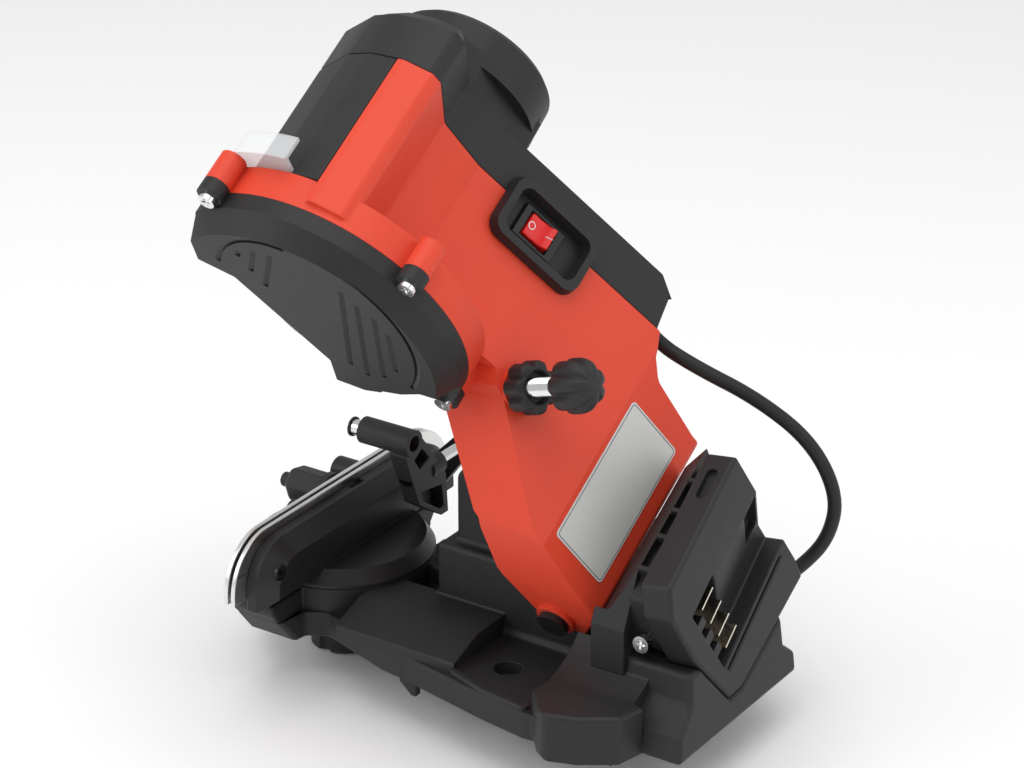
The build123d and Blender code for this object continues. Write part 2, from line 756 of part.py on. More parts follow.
with BuildPart() as base:
    with BuildSketch():
        outline(*both_sides(footprint))
    extrude(amount=pad_height)
    # front bar under the rails, with cut-back ends
    with BuildSketch(front_view(bar_back)):
        outline((-47, 0), (47, 0), (60, 17), (60, bar_height), (-60, bar_height), (-60, 17))
    extrude(amount=bar_back - bar_front)
    with BuildSketch(front_view(-80)):
        outline((60.5, -1), (46.2, -1), (47, 0), (60.5, 17.6))
        outline((-60.5, -1), (-46.2, -1), (-47, 0), (-60.5, 17.6))
    extrude(amount=60, mode=Mode.SUBTRACT)
    # swivel boss
    with BuildSketch():
        with Locations((0, swivel_y)):
            Circle(boss_radius)
    extrude(amount=boss_height)
    # sloping shoulders between boss and pads
    with BuildSketch(front_view(-17)):
        outline((8, pad_height - 1), (50, pad_height - 1), (49, 15.5), (31, 21.5), (8, 21.5))
        outline((-8, pad_height - 1), (-50, pad_height - 1), (-49, 15.5), (-31, 21.5), (-8, 21.5))
    extrude(amount=60)
    # thin rims beside the bolt pads
    with BuildSketch(Plane.XY.offset(pad_height - 1)):
        for side in (1, -1):
            outline((side * 57, 26), (side * 54, 3), (side * 49, -17), (side * 52, -17), (side * 58, 3),
                    (side * 61, 24.5))
    extrude(amount=3)
    # stepped centre tower in front of the hinge
    with BuildSketch():
        outline((11, -51), (11, tower_back), (-30, tower_back), (-30, -51))
    extrude(amount=lower_tier_height)
    with BuildSketch(front_view(30)):
        outline((12.8, pad_height - 1), (12.8, 13.5), (10.4, ledge_height), (-30, ledge_height),
                (-30, pad_height - 1))
    extrude(amount=83)
    with BuildSketch():
        outline((11, 0), (11, 30), (knuckle_far.X - 1, 30), (knuckle_far.X - 1, 0))
    extrude(amount=low_tier_height)
    with BuildSketch(Plane.YZ.offset(-24)):
        outline((-45.5, lower_tier_height - 1), (-45.5, upper_tier_height), (-36, 86), (-22, 78),
                (tower_back, 60), (tower_back, lower_tier_height - 1))
    extrude(amount=29)
    # corner blocks that flank the hinge
    for side in (1, -1):
        with BuildSketch():
            outline(*[(side * x, y) for x, y in block_side])
        extrude(amount=block_height)
    with BuildSketch(front_view(66)):
        with BuildLine():
            Polyline((57, block_height), (60, 0), (12, 0), (13, 14), (24.5, 33))
            ThreePointArc((24.5, 33), (36, 24), (57, block_height))
        make_face()
    extrude(amount=66 - block_front)
    # rear foot that carries the battery dock
    with BuildSketch(front_view(foot_front)):
        outline((-48, 0), (-48.5, 8.8), (-40.5, 15.4), (-40.6, 30), (31, 33), (33.4, 20.5), (43.6, 11),
                (45.6, 0))
    extrude(amount=foot_front - dock_foot_y - 1)
    split(bisect_by=dock_face(), keep=Keep.TOP)
    with BuildSketch(dock_face(-1)):
        outline(*tray_outline)
    extrude(amount=tray_depth + 1, mode=Mode.SUBTRACT)
    # level pads round the bench bolts
    with BuildSketch(Plane.XY.offset(pad_height)):
        for side in (1, -1):
            outline((side * 13, -16), (side * 49, -16), (side * 54, 3), (side * 57, 26),
                    (side * 57, block_front), (side * 13, block_front))
    extrude(amount=8, mode=Mode.SUBTRACT)
    # hollow underside with bolt bosses and the swivel bearing
    with BuildSketch():
        outline(*both_sides(hollow_footprint))
        with Locations((0, swivel_y)):
            Circle(boss_radius - base_wall)
    extrude(amount=pad_height - base_wall, mode=Mode.SUBTRACT)
    with BuildSketch():
        outline((8, -48), (8, 0), (-27, 0), (-27, -48))
    extrude(amount=lower_tier_height - base_wall, mode=Mode.SUBTRACT)
    with BuildSketch():
        with Locations((base_bolt_half_spacing, 0), (-base_bolt_half_spacing, 0)):
            Circle(counterbore_radius + 2 * base_wall)
        with Locations((0, swivel_y)):
            Circle(swivel_bolt_radius + 3 * base_wall)
    extrude(amount=pad_height)
    with Locations((base_bolt_half_spacing, 0, pad_height), (-base_bolt_half_spacing, 0, pad_height)):
        CounterBoreHole(base_bolt_radius, counterbore_radius, 6, depth=pad_height)
    with Locations((0, swivel_y, boss_height)):
        Hole(swivel_bolt_radius + run_fit, depth=boss_height)
    # hooks that meet the bench's front edge
    for side in (1, -1):
        with BuildSketch(Plane.YZ.offset(side * 47.5)):
            outline((-44, pad_height), (-44, -1), (-38.5, -6), (-36, -6), (-36, pad_height))
        extrude(amount=1.8, both=True)
finish(base, "base")
finish(hinge_post, "hinge_post")

# ---------------------------------------------------------------- battery dock
column_start = -5.4                                        # u
column_end = 49
column_top = -102                                          # v
column_front = 39.3                                        # Y
column_back = foot_front
slope_end = column_back - spindle_y + 0.01
column_slope = [(-128, 105), (-107, slope_end), (-80, slope_end), (-80, 105)]     # v, y from the spindle
slope_run = 40
rib_thickness = 2.2
rib_top = 73
bay_start = 8.4                                            # distances across and up the tray
bay_low = 25
bay_high = 67
bay_depth = 9
window_end = 28
window_high = 61

column_corner = [head(u).from_local_coords(Vector(column_top, 0, 0)) for u in (column_start, column_end)]

dock_screw_y = 62
dock_screw_z = 41
dock_screw_faces = {1: 30, -1: -57}                        # x of the face under each screw head


def dock_screw_plane(side, height=0):
    """Plane square to the dock screw on one side, measured outwards from the face under its head."""
    return Plane(origin=(dock_screw_faces[side] + side * height, dock_screw_y, dock_screw_z),
                 x_dir=(0, 1, 0), z_dir=(side, 0, 0))


with BuildPart() as dock_housing:
    with BuildSketch(front_view(column_front)) as column_face:
        outline((34, pad_height), (34, 45), (column_corner[0].X, column_corner[0].Z),
                (column_corner[1].X, column_corner[1].Z), (-37, 86), (-46, 60), (-44, 30), (-44, pad_height))
        fillet(column_face.vertices().sort_by(Axis.Y)[-3:], 6)
    extrude(amount=column_front - column_back)
    # its top falls away below the arm's foot
    with BuildSketch(head(arm_side)):
        outline(*column_slope)
    extrude(amount=column_end - arm_side + slope_run, mode=Mode.SUBTRACT)
    with BuildSketch(front_view(column_back)):
        outline(*[slanted(a, b) for a, b in ((-1, 48), (6, 66), (70, 66), (70, 3), (14, 10), (3, 16))])
    extrude(amount=column_back - dock_foot_y)
    # cooling ribs
    with BuildSketch(front_view(column_back)):
        for place in (16, 32, 45, 60):
            outline(slanted(place, 40), slanted(place, rib_top), slanted(place + rib_thickness, rib_top),
                    slanted(place + rib_thickness, 40))
    extrude(amount=column_back - dock_foot_y)
    split(bisect_by=dock_face(tray_depth), keep=Keep.TOP)
    # pockets for the two dock screws
    for side in (1, -1):
        with BuildSketch(dock_screw_plane(side)):
            Circle(4.4)
        extrude(amount=14, mode=Mode.SUBTRACT)
        with BuildSketch(dock_screw_plane(side)):
            Circle(screw_radius)
        extrude(amount=-12, mode=Mode.SUBTRACT)
    add(base.part, mode=Mode.SUBTRACT)
finish(dock_housing, "dock_housing")

with BuildPart() as dock_screws:
    for side in (1, -1):
        with BuildSketch(dock_screw_plane(side)):
            Circle(screw_head_radius)
        extrude(amount=screw_head_height)
        with BuildSketch(dock_screw_plane(side)):
            Circle(screw_radius)
        extrude(amount=-11)
        with BuildSketch(dock_screw_plane(side, screw_head_height)):
            Rectangle(4.2, 1)
            Rectangle(1, 4.2)
        extrude(amount=-1.4, mode=Mode.SUBTRACT)
finish(dock_screws, "dock_screws")

tray_along = dock_face().x_dir * along.X + dock_face().y_dir * along.Z
tray_up = dock_face().x_dir * across.X + dock_face().y_dir * across.Z


def tray_section(a):
    """Plane across the tray; local x runs up the tray and local y points out of its face."""
    return Plane(origin=dock_face().origin + tray_along * a, x_dir=tray_up, z_dir=tray_along)


with BuildPart() as dock_tray:
    with BuildSketch(dock_face()) as tray_face:
        outline(*tray_outline)
        fillet(tray_face.vertices().group_by(Axis.X)[-1], 5)
    extrude(amount=tray_depth)
    # sloping bay, open at the end where the battery slides in
    with BuildSketch(tray_section(window_end)):
        outline((bay_low, 3), (bay_low, -bay_depth), (bay_low + 8, -bay_depth), (bay_high, 3))
    extrude(amount=60, mode=Mode.SUBTRACT)
    with BuildSketch(dock_face(-1)):
        outline(*[slanted(a, b) for a, b in ((bay_start, bay_low), (window_end + 1, bay_low),
                                             (window_end + 1, window_high), (bay_start, window_high))])
    extrude(amount=tray_depth - wall + 1, mode=Mode.SUBTRACT)
    # guide groove and latch pocket
    with BuildSketch(dock_face(-1)):
        outline(*[slanted(a, b) for a, b in ((bay_start + 1, 21), (66, 21), (66, 23), (bay_start + 1, 23))])
        outline(*[slanted(a, b) for a, b in ((60, 38), (71, 38), (71, 57), (60, 57))])
    extrude(amount=tray_depth - wall + 1, mode=Mode.SUBTRACT)
    # oval pocket in the tray's upper side
    pocket_seat = dock_face(tray_depth / 2).origin + tray_along * 58 + tray_up * 80
    with BuildSketch(Plane(origin=pocket_seat, x_dir=tray_along, z_dir=tray_up)):
        SlotOverall(15, 5)
    extrude(amount=8, mode=Mode.SUBTRACT)
finish(dock_tray, "dock_tray")

block_depth = tray_depth - wall - 2
with BuildPart() as terminal_block:
    with BuildSketch(dock_face(block_depth)):
        outline(slanted(bay_start + slip, bay_low + slip), slanted(window_end, bay_low + slip),
                slanted(window_end, window_high - slip), slanted(bay_start + slip, window_high - slip))
    extrude(amount=2)
    with BuildSketch(dock_face(2)):
        for place in (30, 39, 48):
            outline(*[slanted(a, b) for a, b in ((bay_start + slip, place), (15, place), (15, place + 4.5),
                                                 (bay_start + slip, place + 4.5))])
    extrude(amount=block_depth - 2)
finish(terminal_block, "terminal_block")

blade_thickness = 0.8
with BuildPart() as terminal_blades:
    with BuildSketch(dock_face(1.5)):
        for place in (28, 36.5, 45.5, 55):
            outline(*[slanted(a, b) for a, b in ((16, place), (27, place), (27, place + blade_thickness),
                                                 (16, place + blade_thickness))])
    extrude(amount=block_depth - 1.5)
finish(terminal_blades, "terminal_blades")

# ---------------------------------------------------------------- swivelling vise
table_start = boss_height + slip
jaw_back = -94
jaw_front = -106.8                                         # the rear rail lies against this face
jaw_half = 66
jaw_low = table_start
jaw_top = 51.5
jaw_bevel_start = 5
jaw_bevel_angle = 38
clamp_x = -6
clamp_z = 43
clamp_radius = 4
guide_radius = 3
guide_offset = 22.5
rod_y = -82                                                # chain stop rod, parallel to X
rod_z = 56.7
rod_radius = 2.3
rail_screw_x = 61.7
rail_screw_z = 40.7
rail_screw_radius = 1.6
rail_screw_head = 3.4
bracket_near = -54
bracket_far = -58
rail_low = 28
rail_corner = 24
bolt_head_start = table_start + 1.8
bolt_head_height = 3.2
rear_rail_front = jaw_front - rail_thickness
front_rail_back = rear_rail_front - rail_gap
front_rail_front = front_rail_back - rail_thickness

with BuildPart() as vise_table:
    with BuildSketch(Plane.XY.offset(table_start)):
        with Locations((0, swivel_y)):
            Circle(table_radius)
    extrude(amount=1.5)
    with BuildSketch(Plane.XY.offset(table_start + 1.5)):
        with Locations((0, swivel_y)):
            Circle(table_radius)
    table_bevel = degrees(atan2(table_radius - table_top_radius, table_height - 1.5))
    extrude(amount=table_height - 1.5, taper=table_bevel)
    with BuildSketch(Plane.XY.offset(rail_low - slip)):
        with Locations((0, jaw_front - table_radius)):
            Rectangle(2 * table_radius, 2 * table_radius)
    extrude(amount=table_height, mode=Mode.SUBTRACT)
    with BuildSketch(front_view(jaw_front)) as jaw_face:
        with Locations((0, (jaw_low + jaw_top) / 2)):
            Rectangle(2 * jaw_half + 8, jaw_top - jaw_low)
        fillet(jaw_face.vertices().group_by(Axis.Y)[-1], 20)
    extrude(amount=-jaw_bevel_start)
    with BuildSketch(front_view(jaw_front + jaw_bevel_start)) as jaw_bevel:
        with Locations((0, (jaw_low + jaw_top) / 2)):
            Rectangle(2 * jaw_half + 8, jaw_top - jaw_low)
        fillet(jaw_bevel.vertices().group_by(Axis.Y)[-1], 20)
    extrude(amount=jaw_front + jaw_bevel_start - jaw_back, taper=jaw_bevel_angle)
    # bracket that carries the chain stop's rod
    with BuildSketch(Plane.YZ.offset(bracket_far)):
        outline((jaw_back - 3, 34), (jaw_back - 3, 48.5), (rod_y - 3, rod_z + 4.2), (rod_y + 3, rod_z + 4.2),
                (rod_y + 4.6, rod_z), (rod_y + 2, rod_z - 5), (jaw_back + 1, 34))
    extrude(amount=bracket_near - bracket_far)
    with BuildSketch(Plane.YZ.offset(bracket_far - 1)):
        with Locations((rod_y, rod_z)):
            Circle(rod_radius + run_fit)
    extrude(amount=bracket_near - bracket_far + 2, mode=Mode.SUBTRACT)
    # bores for clamp screw, guide pins and rail screws
    with BuildSketch(front_view(jaw_front)):
        with Locations((clamp_x, clamp_z)):
            Circle(clamp_radius)
        with Locations((clamp_x - guide_offset, clamp_z), (clamp_x + guide_offset, clamp_z)):
            Circle(guide_radius)
    extrude(amount=-9, mode=Mode.SUBTRACT)
    with BuildSketch(front_view(jaw_front)):
        with Locations((-rail_screw_x, rail_screw_z), (rail_screw_x, rail_screw_z)):
            Circle(rail_screw_radius)
    extrude(amount=jaw_front - jaw_back, mode=Mode.SUBTRACT)
    with BuildSketch(front_view(jaw_back)):
        with Locations((-rail_screw_x, rail_screw_z), (rail_screw_x, rail_screw_z)):
            Circle(rail_screw_head)
    extrude(amount=2, mode=Mode.SUBTRACT)
    # gauge notch in the jaw's top edge
    with BuildSketch(front_view(jaw_front)):
        with Locations((-5.5, jaw_top)):
            Rectangle(9, 4)
    extrude(amount=-3, mode=Mode.SUBTRACT)
    # seat of the swivel bolt
    with BuildSketch(Plane.XY.offset(table_start)):
        with Locations((0, swivel_y)):
            Circle(swivel_bolt_radius)
    extrude(amount=bolt_head_start - table_start, mode=Mode.SUBTRACT)
    with BuildSketch(Plane.XY.offset(bolt_head_start)):
        with Locations((0, swivel_y)):
            RegularPolygon(swivel_head_flat, 6, major_radius=False)
    extrude(amount=bolt_head_height + slip, mode=Mode.SUBTRACT)
finish(vise_table, "vise_table")

for name, back in (("rear_rail", jaw_front), ("front_rail", front_rail_back)):
    with BuildPart() as rail:
        with BuildSketch(front_view(back)) as rail_sketch:
            with Locations((0, (rail_low + rail_top) / 2)):
                Rectangle(2 * rail_half_length, rail_top - rail_low)
            fillet(rail_sketch.vertices().group_by(Axis.Y)[-1], rail_corner)
            with Locations((clamp_x, clamp_z)):
                Circle(clamp_radius + slip, mode=Mode.SUBTRACT)
            with Locations((clamp_x - guide_offset, clamp_z), (clamp_x + guide_offset, clamp_z)):
                Circle(guide_radius + slip, mode=Mode.SUBTRACT)
        extrude(amount=rail_thickness)
    finish(rail, name)

jaw_plate = 5.2                                            # thickness of the moving jaw
front_jaw_top = 50
front_jaw_face = front_rail_front - jaw_plate
long_sleeve = 14
short_sleeve = 5.5
knob_gap = 0.2
with BuildPart() as front_jaw:
    with BuildSketch(front_view(front_rail_front)) as front_jaw_sketch:
        with Locations((0, (rail_low + 0.5 + front_jaw_top) / 2)):
            Rectangle(2 * jaw_half - 4, front_jaw_top - rail_low - 0.5)
        fillet(front_jaw_sketch.vertices().group_by(Axis.Y)[-1], 17)
    extrude(amount=jaw_plate)
    with BuildSketch(front_view(front_jaw_face)):
        with Locations((clamp_x - guide_offset, clamp_z - 1)):
            Circle(6)
    extrude(amount=long_sleeve)
    with BuildSketch(front_view(front_jaw_face)):
        with Locations((clamp_x + guide_offset, clamp_z)):
            Circle(5)
    extrude(amount=short_sleeve)
    with BuildSketch(front_view(front_rail_front)):
        with Locations((clamp_x, clamp_z)):
            Circle(clamp_radius + 0.4)
        with Locations((clamp_x - guide_offset, clamp_z), (clamp_x + guide_offset, clamp_z)):
            Circle(guide_radius + run_fit)
    extrude(amount=jaw_plate + short_sleeve - 1, mode=Mode.SUBTRACT)
finish(front_jaw, "front_jaw")

guide_reach = 6.5                                          # past the rear rail's front face
with BuildPart() as guide_pins:
    with BuildSketch(front_view(jaw_front + 9)):
        with Locations((clamp_x - guide_offset, clamp_z), (clamp_x + guide_offset, clamp_z)):
            Circle(guide_radius)
    extrude(amount=9 + rail_thickness + guide_reach)
finish(guide_pins, "guide_pins")

knob_length = 21
nub_length = 5
hex_flat = 7.25
with BuildPart() as clamp_screw:
    with BuildSketch(front_view(jaw_front + 9)):
        with Locations((clamp_x, clamp_z)):
            Circle(clamp_radius)
    extrude(amount=9 + rail_thickness + rail_gap + rail_thickness + jaw_plate + knob_length - 4)
finish(clamp_screw, "clamp_screw")

with BuildPart() as clamp_knob:
    with BuildSketch(front_view(front_jaw_face - knob_gap)):
        with Locations((clamp_x, clamp_z)):
            Circle(hex_flat + 1.6)
    extrude(amount=3)
    with BuildSketch(front_view(front_jaw_face - knob_gap)):
        with Locations((clamp_x, clamp_z)):
            RegularPolygon(hex_flat, 6, major_radius=False, rotation=12)
    extrude(amount=knob_length - 2)
    with BuildSketch(front_view(front_jaw_face - knob_gap - knob_length + 2)):
        with Locations((clamp_x, clamp_z)):
            RegularPolygon(hex_flat, 6, major_radius=False, rotation=12)
    extrude(amount=2, taper=40)
    with BuildSketch(front_view(front_jaw_face - knob_gap - knob_length)):
        with Locations((clamp_x, clamp_z)):
            Circle(3.3)
    extrude(amount=nub_length)
    with BuildSketch(front_view(front_jaw_face + 1)):
        with Locations((clamp_x, clamp_z)):
            Circle(clamp_radius + run_fit)
    extrude(amount=1 + knob_length, mode=Mode.SUBTRACT)
finish(clamp_knob, "clamp_knob")

with BuildPart() as rail_screws:
    for side in (1, -1):
        with BuildSketch(front_view(jaw_back - 2)):
            with Locations((side * rail_screw_x, rail_screw_z)):
                Circle(rail_screw_head - 0.4)
                Rectangle(3.4, 0.8, mode=Mode.SUBTRACT)
                Rectangle(0.8, 3.4, mode=Mode.SUBTRACT)
        extrude(amount=-1.4)
        with BuildSketch(front_view(jaw_back - 2)):
            with Locations((side * rail_screw_x, rail_screw_z)):
                Circle(rail_screw_radius)
        extrude(amount=jaw_back - jaw_front - 2)
finish(rail_screws, "rail_screws")

# ---------------------------------------------------------------- chain stop
bush_radius = 3.4
bush_near = -24
bush_far = -35
arm_near = -25
arm_far = -34
arm_boss_radius = 5.2
web_front = -86.2
web_back = -77.8
stop_x = -10.5
stop_z = 75.5
stop_radius = 5.9
stop_pin_radius = 3.5
stop_front = -103.3
stop_rod_tip = -26
stop_rod_end = -64

with BuildPart() as stop_rod:
    with BuildSketch(Plane.YZ.offset(stop_rod_end)):
        with Locations((rod_y, rod_z)):
            Circle(rod_radius)
    extrude(amount=stop_rod_tip - stop_rod_end)
finish(stop_rod, "stop_rod")

with BuildPart() as stop_knob:
    with BuildSketch(Plane.YZ.offset(bracket_far - 0.4)):
        with Locations((rod_y, rod_z)):
            Circle(4)
    extrude(amount=-4)
    with BuildSketch(Plane.YZ.offset(bracket_far - 3)):
        with Locations((rod_y, rod_z)):
            lobed(6.5, 6, 1.4)
    extrude(amount=-9)
    with BuildSketch(Plane.YZ.offset(stop_rod_end)):
        with Locations((rod_y, rod_z)):
            Circle(rod_radius)
    extrude(amount=10, mode=Mode.SUBTRACT)
finish(stop_knob, "stop_knob")

with BuildPart() as stop_bush:
    with BuildSketch(Plane.YZ.offset(bush_far)):
        with Locations((rod_y, rod_z)):
            Circle(bush_radius)
            Circle(rod_radius + run_fit, mode=Mode.SUBTRACT)
    extrude(amount=bush_near - bush_far)
finish(stop_bush, "stop_bush")

with BuildPart() as stop_arm:
    with BuildSketch(front_view(web_back)):
        outline((-16.5, 76.5), (-34.5, 52), (-36, 33), (-31, 33), (-15, 44), (-4.6, 71))
    extrude(amount=web_back - web_front)
    with BuildSketch(Plane.YZ.offset(arm_far)):
        with Locations((rod_y, rod_z)):
            Circle(arm_boss_radius)
    extrude(amount=arm_near - arm_far)
    with BuildSketch(front_view(web_back + 0.6)):
        with Locations((stop_x, stop_z)):
            Circle(stop_radius)
    extrude(amount=web_back + 0.6 - stop_front)
    # weight-saving pockets in the web's rear side
    with BuildSketch(front_view(web_back)):
        outline((-17, 70.5), (-22, 64.5), (-15, 61.5), (-11.5, 67))
        outline((-31, 47.5), (-32.5, 37), (-30, 36.5), (-18, 45), (-15.5, 50))
    extrude(amount=5, mode=Mode.SUBTRACT)
    with BuildSketch(front_view(web_back + 1)):
        with Locations((stop_x, stop_z)):
            Circle(stop_pin_radius)
    extrude(amount=30, mode=Mode.SUBTRACT)
    with BuildSketch(Plane.YZ.offset(bush_far - 5)):
        with Locations((rod_y, rod_z)):
            Circle(bush_radius + run_fit)
    extrude(amount=30, mode=Mode.SUBTRACT)
finish(stop_arm, "stop_arm")

pin_tip = -110.6
with BuildPart() as stop_pin:
    with BuildSketch(front_view(web_back - 8)):
        with Locations((stop_x, stop_z)):
            Circle(stop_pin_radius)
    extrude(amount=web_back - 8 - pin_tip)
    chamfer(stop_pin.edges().sort_by(Axis.Y)[0], 0.8)
finish(stop_pin, "stop_pin")

with BuildPart() as stop_clip:
    with BuildSketch(front_view(pin_tip + 2.2)):
        with Locations((stop_x, stop_z)):
            Circle(stop_pin_radius + 0.8)
            Circle(stop_pin_radius, mode=Mode.SUBTRACT)
    extrude(amount=0.8)
finish(stop_clip, "stop_clip")

# ---------------------------------------------------------------- swivel bolt and knob
swivel_knob_radius = 15
swivel_knob_top = -3
swivel_knob_low = -22
washer_radius = 9
washer_thickness = 1.6
with BuildPart() as swivel_bolt:
    with BuildSketch(Plane.XY.offset(bolt_head_start)):
        with Locations((0, swivel_y)):
            RegularPolygon(swivel_head_flat, 6, major_radius=False)
    extrude(amount=bolt_head_height)
    with BuildSketch(Plane.XY.offset(bolt_head_start)):
        with Locations((0, swivel_y)):
            Circle(swivel_bolt_radius)
    extrude(amount=swivel_knob_low + 3 - bolt_head_start)
finish(swivel_bolt, "swivel_bolt")

with BuildPart() as swivel_washer:
    with BuildSketch():
        with Locations((0, swivel_y)):
            Circle(washer_radius)
            Circle(swivel_bolt_radius + run_fit, mode=Mode.SUBTRACT)
    extrude(amount=-washer_thickness)
finish(swivel_washer, "swivel_washer")

with BuildPart() as swivel_knob:
    with BuildSketch(Plane.XY.offset(-washer_thickness - knob_gap)):
        with Locations((0, swivel_y)):
            Circle(8)
    extrude(amount=swivel_knob_top + washer_thickness)
    with BuildSketch(Plane.XY.offset(swivel_knob_top)):
        with Locations((0, swivel_y)):
            lobed(swivel_knob_radius, 6, 3.4)
    extrude(amount=swivel_knob_low - swivel_knob_top)
    with BuildSketch(Plane.XY.offset(swivel_knob_low + 2)):
        with Locations((0, swivel_y)):
            Circle(swivel_bolt_radius + run_fit)
    extrude(amount=-swivel_knob_low, mode=Mode.SUBTRACT)
finish(swivel_knob, "swivel_knob")

# ---------------------------------------------------------------- power cord from head to dock
cord_route = [(-53, 4.6, 139.9), (-56.2, 12.5, 128.6), (-59.8, 30.5, 119.6), (-69.9, 53.8, 107.6),
              (-78.6, 75.6, 90.2), (-81, 88, 67.6), (-76.7, 86.9, 49.1), (-70, 77.9, 35.8),
              (-56.5, 70, 29.5), (-43.5, 63.5, 25.5)]


def bend_radius(before, corner, after):
    """Largest arc that the two runs beside a corner allow."""
    arriving = Vector(*corner) - Vector(*before)
    leaving = Vector(*after) - Vector(*corner)
    return 0.45 * min(arriving.length, leaving.length) / tan(radians(arriving.get_angle(leaving) / 2))


cord_bends = [bend_radius(*cord_route[place:place + 3]) for place in range(len(cord_route) - 2)]
with BuildPart() as cord:
    with BuildLine() as cord_path:
        FilletPolyline(*cord_route, radius=cord_bends)
    with BuildSketch(Plane(origin=cord_path.line @ 0, z_dir=cord_path.line % 0)):
        Circle(cord_radius)
    sweep()
finish(cord, "cord")

relief_length = 11
relief_radius = 5
with BuildPart() as cord_relief_head:
    with BuildSketch(Plane(origin=cord_path.line @ 0, z_dir=-(cord_path.line % 0))):
        Circle(relief_radius)
    extrude(amount=relief_length)
finish(cord_relief_head, "cord_relief_head")
for housing, name in ((red_housing, "red_housing"), (motor_cover, "motor_cover")):
    with housing:
        add(cord_relief_head.part, mode=Mode.SUBTRACT)
    finish(housing, name)

with BuildPart() as cord_relief_dock:
    with BuildSketch(Plane(origin=cord_path.line @ 1, z_dir=cord_path.line % 1)):
        Circle(relief_radius)
    extrude(amount=relief_length)
finish(cord_relief_dock, "cord_relief_dock")
with base:
    add(cord_relief_dock.part, mode=Mode.SUBTRACT)
finish(base, "base")
with dock_housing:
    add(cord_relief_dock.part, mode=Mode.SUBTRACT)
finish(dock_housing, "dock_housing")
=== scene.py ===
"""Looks of an electric chainsaw sharpener: moulded housings, a vise with steel rails and a battery dock.

Lengths are written in millimetres and turned to metres by MM. The head, its hinge and the dock share
one tilted frame: u runs along the grinding spindle towards the motor, v runs up the head and y is the
machine's own Y.
"""
import json
import math

import bmesh
import bpy
from mathutils import Matrix, Vector

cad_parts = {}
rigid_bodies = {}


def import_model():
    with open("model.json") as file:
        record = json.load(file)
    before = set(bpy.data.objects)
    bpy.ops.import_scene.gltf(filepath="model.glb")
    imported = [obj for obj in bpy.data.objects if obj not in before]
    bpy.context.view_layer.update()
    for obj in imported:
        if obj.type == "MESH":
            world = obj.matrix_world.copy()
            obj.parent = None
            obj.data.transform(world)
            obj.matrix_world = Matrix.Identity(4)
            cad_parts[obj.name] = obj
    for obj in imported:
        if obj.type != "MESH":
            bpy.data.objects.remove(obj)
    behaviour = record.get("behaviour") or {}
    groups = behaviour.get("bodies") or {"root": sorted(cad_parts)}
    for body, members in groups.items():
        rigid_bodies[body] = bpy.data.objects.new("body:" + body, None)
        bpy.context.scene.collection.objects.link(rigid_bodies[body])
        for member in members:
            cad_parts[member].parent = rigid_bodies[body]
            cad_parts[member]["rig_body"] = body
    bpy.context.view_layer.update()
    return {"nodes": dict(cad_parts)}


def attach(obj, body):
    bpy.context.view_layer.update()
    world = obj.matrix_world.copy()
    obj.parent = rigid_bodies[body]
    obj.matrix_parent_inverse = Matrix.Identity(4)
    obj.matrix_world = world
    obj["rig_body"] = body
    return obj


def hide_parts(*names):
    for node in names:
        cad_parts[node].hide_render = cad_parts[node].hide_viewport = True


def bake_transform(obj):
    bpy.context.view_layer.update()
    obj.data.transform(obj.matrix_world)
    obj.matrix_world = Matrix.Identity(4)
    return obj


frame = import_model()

MM = 0.001

# ---------------------------------------------------------------- frames shared with the solids
TILT = math.radians(32)
ALONG = Vector((-math.cos(TILT), 0, math.sin(TILT)))
ACROSS = Vector((math.sin(TILT), 0, math.cos(TILT)))
REAR = Vector((0, 1, 0))
SPINDLE = Vector((69.6, -67.2, 166.4))


def placed(origin, x_axis, y_axis, z_axis):
    """Matrix of a frame whose origin is in millimetres, for points in millimetres."""
    turn = Matrix((x_axis, y_axis, z_axis)).transposed().to_4x4()
    return Matrix.Scale(MM, 4) @ Matrix.Translation(origin) @ turn


def head_frame(u):
    """Local x is v, local y is the machine's Y and local z runs along the spindle."""
    return placed(SPINDLE + ALONG * u, ACROSS, REAR, ALONG)


CREASE_V = -88.4                                           # where the arm's two rear faces meet
CREASE_Y = 89.8
UPPER_LEAN = 32.2                                          # degrees that each face leans back
LOWER_LEAN = 19.3


def rear_normal(lean):
    return ACROSS * math.sin(math.radians(lean)) + REAR * math.cos(math.radians(lean))


def rear_frame(lean, height=0):
    """Local x is u, local y runs up a rear face of the arm from its crease and local z points outwards."""
    normal = rear_normal(lean)
    crease = SPINDLE + ACROSS * CREASE_V + REAR * CREASE_Y
    return placed(crease + normal * height, ALONG, normal.cross(ALONG), normal)


# ---------------------------------------------------------------- camera
VIEW_AZIMUTH = math.radians(123.5)
VIEW_ELEVATION = math.radians(24.7)
EYE = Vector((1079.5, 693.7, 717.2)) * MM
LENS = 123.05
SENSOR_WIDTH = 36
NEAREST = 0.01                                             # clipping distances in metres
FARTHEST = 20


def place_camera():
    data = bpy.data.cameras.new("camera")
    data.lens = LENS
    data.sensor_width = SENSOR_WIDTH
    data.clip_start = NEAREST
    data.clip_end = FARTHEST
    camera = bpy.data.objects.new("camera", data)
    back = Vector((math.sin(VIEW_AZIMUTH) * math.cos(VIEW_ELEVATION),
                   -math.cos(VIEW_AZIMUTH) * math.cos(VIEW_ELEVATION), math.sin(VIEW_ELEVATION)))
    camera.location = EYE
    camera.rotation_mode = "QUATERNION"
    camera.rotation_quaternion = (-back).to_track_quat("-Z", "Y")
    bpy.context.scene.collection.objects.link(camera)
    bpy.context.scene.camera = camera


place_camera()


